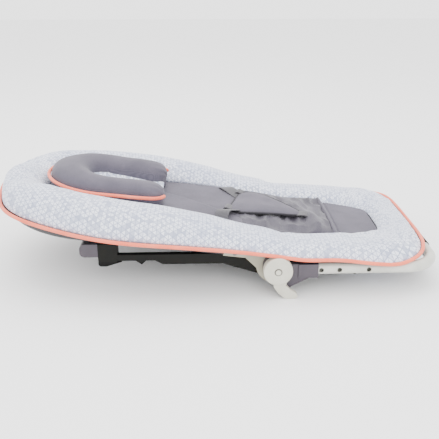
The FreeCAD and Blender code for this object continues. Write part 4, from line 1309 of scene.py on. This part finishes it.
@dataclass
class Harness:
    """The triangular pad, its binding, its loops and the straps."""

    finishes: Finishes
    head_x: float = 0.0465
    head_y: float = 0.0125
    length: float = 0.143
    turn: float = math.radians(-17)
    wide: float = 0.067
    narrow: float = 0.018
    head_z: float = 0.1115
    tip_z: float = 0.0945
    thick: float = 0.010
    binding: float = 0.0026
    strap_half_thick: float = 0.0009

    def outline(self, count: int) -> np.ndarray:
        """Plan points of the pad's rounded triangle.

        Args:
            count: how many points to give back.

        Returns:
            Points round the outline.
        """
        length = self.length
        corners = [(0.0, -self.wide * 0.62), (0.012, -self.wide * 0.93), (0.038, -self.wide * 0.93),
                   (length - 0.02, -self.narrow * 1.15), (length, -self.narrow * 0.35),
                   (length, self.narrow * 0.35), (length - 0.02, self.narrow * 1.15),
                   (0.038, self.wide * 0.93), (0.012, self.wide * 0.93), (0.0, self.wide * 0.62)]
        return resample(cut_corners(np.array(corners), closed=True), count, closed=True)

    def height(self, x: np.ndarray | float) -> np.ndarray | float:
        """Height of the pad's middle plane.

        Args:
            x: distance or distances along the pad.

        Returns:
            Heights in metres.
        """
        share = np.clip(np.asarray(x) / self.length, 0, 1)
        return self.head_z + (self.tip_z - self.head_z) * share + 0.004 * np.sin(math.pi * share)

    def laid(self, plan: np.ndarray, lift: np.ndarray | float = 0.0) -> np.ndarray:
        """Lay places of the pad down on the seat, turned towards the child's right.

        Args:
            plan: places in the pad's own outline.
            lift: height above the pad's middle plane.

        Returns:
            Points in the seat's frame.
        """
        cos, sin = math.cos(self.turn), math.sin(self.turn)
        x = self.head_x + plan[:, 0] * cos - plan[:, 1] * sin
        y = self.head_y + plan[:, 0] * sin + plan[:, 1] * cos
        return np.column_stack([x, y, self.height(plan[:, 0]) + lift])

    def build_pad(self) -> None:
        """Make the quilted pad and the binding round it."""
        edge = self.outline(120)
        centre = edge.mean(0)
        shares = np.sin(np.linspace(1, 0.0, 16) * math.pi / 2)
        upper, lower = [], []
        for share in shares:
            plan = centre + (edge - centre) * share
            dome = (1 - share ** 6) ** 0.5 * self.thick
            upper.append(self.laid(plan, dome * 0.55))
            lower.append(self.laid(plan, -dome * 0.45))
        top, bottom = np.array(upper), np.array(lower)
        rows = np.concatenate([bottom[::-1], top[1:]], axis=0)
        points = rows[1:-1].reshape(-1, 3)
        n, faces = len(edge), []
        count = len(rows) - 2
        points = np.vstack([points, rows[0][0], rows[-1][0]])
        for i in range(count - 1):
            for k in range(n):
                a, b = i * n + k, i * n + (k + 1) % n
                faces.append((a, b, b + n, a + n))
        for k in range(n):
            faces.append(((k + 1) % n, k, len(points) - 2))
            faces.append(((count - 1) * n + k, (count - 1) * n + (k + 1) % n, len(points) - 1))
        pad = mesh_object("harness_pad", points, faces)
        outwards(pad)
        smooth(pad)

        def move(co: np.ndarray, normals: np.ndarray) -> np.ndarray:
            """The shift of each point from all places and normals."""
            return normals * (0.0009 * noise_at(co, 0.028, 11.0))[:, None]
        shift_points(pad, move)
        finish_piece(pad, self.finishes.pad, None, ("crotch_pad",))
        plan = resample(edge, 300, closed=True)
        cord = tube("harness_binding", self.laid(plan), self.binding, closed=True, sides=10)
        finish_piece(cord, self.finishes.binding, None)

    def strap(self, name: str, path: Sequence[Vector], across: Vector, width: float,
              body: str | None, nodes: Sequence[str] = ()) -> None:
        """A flat webbing strap along a few points.

        Args:
            name: the piece's name.
            path: points along its middle.
            across: the direction of its width.
            width: its width.
            body: the body that it rides on, or None for a strap across the hip, which is tied to no
                body.
            nodes: the frame's nodes that it stands for.
        """
        line = cut_corners(np.array([tuple(p) for p in path]), closed=False)
        line = resample(line, 48, closed=False)
        wide = np.array(tuple(across.normalized())) * width / 2
        along = np.gradient(line, axis=0)
        up = np.cross(along, wide)
        up /= np.linalg.norm(up, axis=1)[:, None]
        shape = [(-1, -1), (-0.9, -1.2), (0.9, -1.2), (1, -1), (1, 1), (0.9, 1.2), (-0.9, 1.2), (-1, 1)]
        rings = np.stack([line + wide * a + up * self.strap_half_thick * b for a, b in shape], axis=1)
        piece = skin(name, rings, closed=False)
        finish_piece(piece, self.finishes.webbing, body, nodes)

    def build_straps(self) -> None:
        """The crotch strap, the two waist straps and the pad's loops."""
        self.strap("crotch_webbing", [Vector((0.172, -0.028, 0.096)), Vector((0.19, -0.033, 0.099)),
                                      Vector((0.204, -0.036, 0.093)), Vector((0.208, -0.037, 0.080))],
                   Vector((0.25, 1, 0)), 0.025, "seat", ("crotch_strap",))
        for side, lift in ((Side.LEFT, 0.0), (Side.RIGHT, 0.012)):
            y, shift = side.value, 0.014 if side is Side.LEFT else 0.0
            self.strap(f"waist_webbing_{side.label}",
                       [Vector((0.014 + shift, y * 0.111, 0.098)),
                        Vector((0.015 + shift, y * 0.099, 0.112 + lift)),
                        Vector((0.020 + shift, y * 0.086, 0.1165 + lift)),
                        Vector((0.031 + shift, y * 0.066, 0.1145 + lift / 2)),
                        Vector((0.05 + shift, y * 0.036, 0.109))],
                       Vector((1, y * 0.2, 0)), 0.027, None, (f"waist_strap_{side.label}",))
        for label, y in (("left", 0.052), ("right", -0.046)):
            at = self.laid(np.array([[0.008, y], [-0.006, y], [-0.010, y], [0.004, y]]),
                           np.array([0.001, 0.006, -0.002, -0.005]))
            self.strap(f"pad_loop_{label}", [Vector(p) for p in at],
                       Vector((-math.sin(self.turn), math.cos(self.turn), 0)), 0.022, None)

    def build(self) -> None:
        """Make the pad and the straps."""
        self.build_pad()
        self.build_straps()


# --- hard parts ------------------------------------------------------------------------------


@dataclass
class HardParts:
    """The finish of the frame's own nodes."""

    finishes: Finishes

    def build(self) -> None:
        """Give every node of the frame its material."""
        for name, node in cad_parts.items():
            node.data.materials.clear()
            node.data.materials.append(self.finishes.for_node(name))


# --- studio ----------------------------------------------------------------------------------


@dataclass
class Studio:
    """Pale floor, soft lights and the camera."""

    lens: float = 54.1
    distance: float = 1.4
    elevation: float = 21.5
    azimuth: float = -2.0
    target: tuple[float, float, float] = (0.015, 0.0, 0.074)
    sensor: float = 36.0
    floor_half: float = 6.0
    floor_below: float = 0.0005
    room_light: float = 2.7

    def build_floor(self) -> None:
        """A plain pale floor."""
        material, _, shader = start_material("matt_white_studio_paper")
        shader.inputs["Base Color"].default_value = linear("f4f4f4")
        shader.inputs["Roughness"].default_value = 0.9
        points = np.array([(x * self.floor_half, y * self.floor_half, -self.floor_below)
                           for x, y in ((-1, -1), (1, -1), (1, 1), (-1, 1))])
        floor = mesh_object("studio_floor", points, [(0, 1, 2, 3)])
        floor.data.materials.append(material)

    def build_camera(self) -> None:
        """The camera, level with its horizon, looking at the middle of the seat."""
        data = bpy.data.cameras.new("camera")
        data.sensor_width = self.sensor
        data.lens = self.lens
        camera = bpy.data.objects.new("camera", data)
        bpy.context.scene.collection.objects.link(camera)
        turn, rise = math.radians(self.azimuth), math.radians(self.elevation)
        back = Vector((math.sin(turn) * math.cos(rise), -math.cos(turn) * math.cos(rise),
                       math.sin(rise)))
        camera.location = Vector(self.target) + back * self.distance
        camera.rotation_euler = (-back).to_track_quat("-Z", "Y").to_euler()
        bpy.context.scene.camera = camera

    def area(self, name: str, place: Vector, size: float, power: float) -> None:
        """A soft square light aimed at the seat.

        Args:
            name: the light's name.
            place: where it hangs.
            size: its side in metres.
            power: its power in watts.
        """
        data = bpy.data.lights.new(name, "AREA")
        data.size = size
        data.energy = power
        light = bpy.data.objects.new(name, data)
        bpy.context.scene.collection.objects.link(light)
        light.location = place
        light.rotation_euler = (Vector(self.target) - place).to_track_quat("-Z", "Y").to_euler()

    def build_light(self) -> None:
        """An even bright room with a large soft light above and one in front."""
        world = bpy.data.worlds.new("studio")
        bpy.context.scene.world = world
        world.use_nodes = True
        background = world.node_tree.nodes["Background"]
        background.inputs["Color"].default_value = linear("ffffff")
        background.inputs["Strength"].default_value = self.room_light
        self.area("top_softbox", Vector((-0.3, 0.4, 2.0)), 2.2, 42.0)
        self.area("front_softbox", Vector((0.5, -2.0, 1.3)), 1.6, 26.0)

    def build(self) -> None:
        """Make the studio."""
        self.build_floor()
        self.build_camera()
        self.build_light()


def main() -> None:
    """Build the seat around its frame."""
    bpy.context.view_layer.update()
    finishes = Finishes()
    ring = Ring(finishes)
    for part in (Studio(), HardParts(finishes), ring, Underside(finishes, ring),
                 InnerPads(finishes), HeadPillow(finishes), Harness(finishes)):
        part.build()
        log.info("built %s", type(part).__name__)


if __name__ == "__main__":
    main()
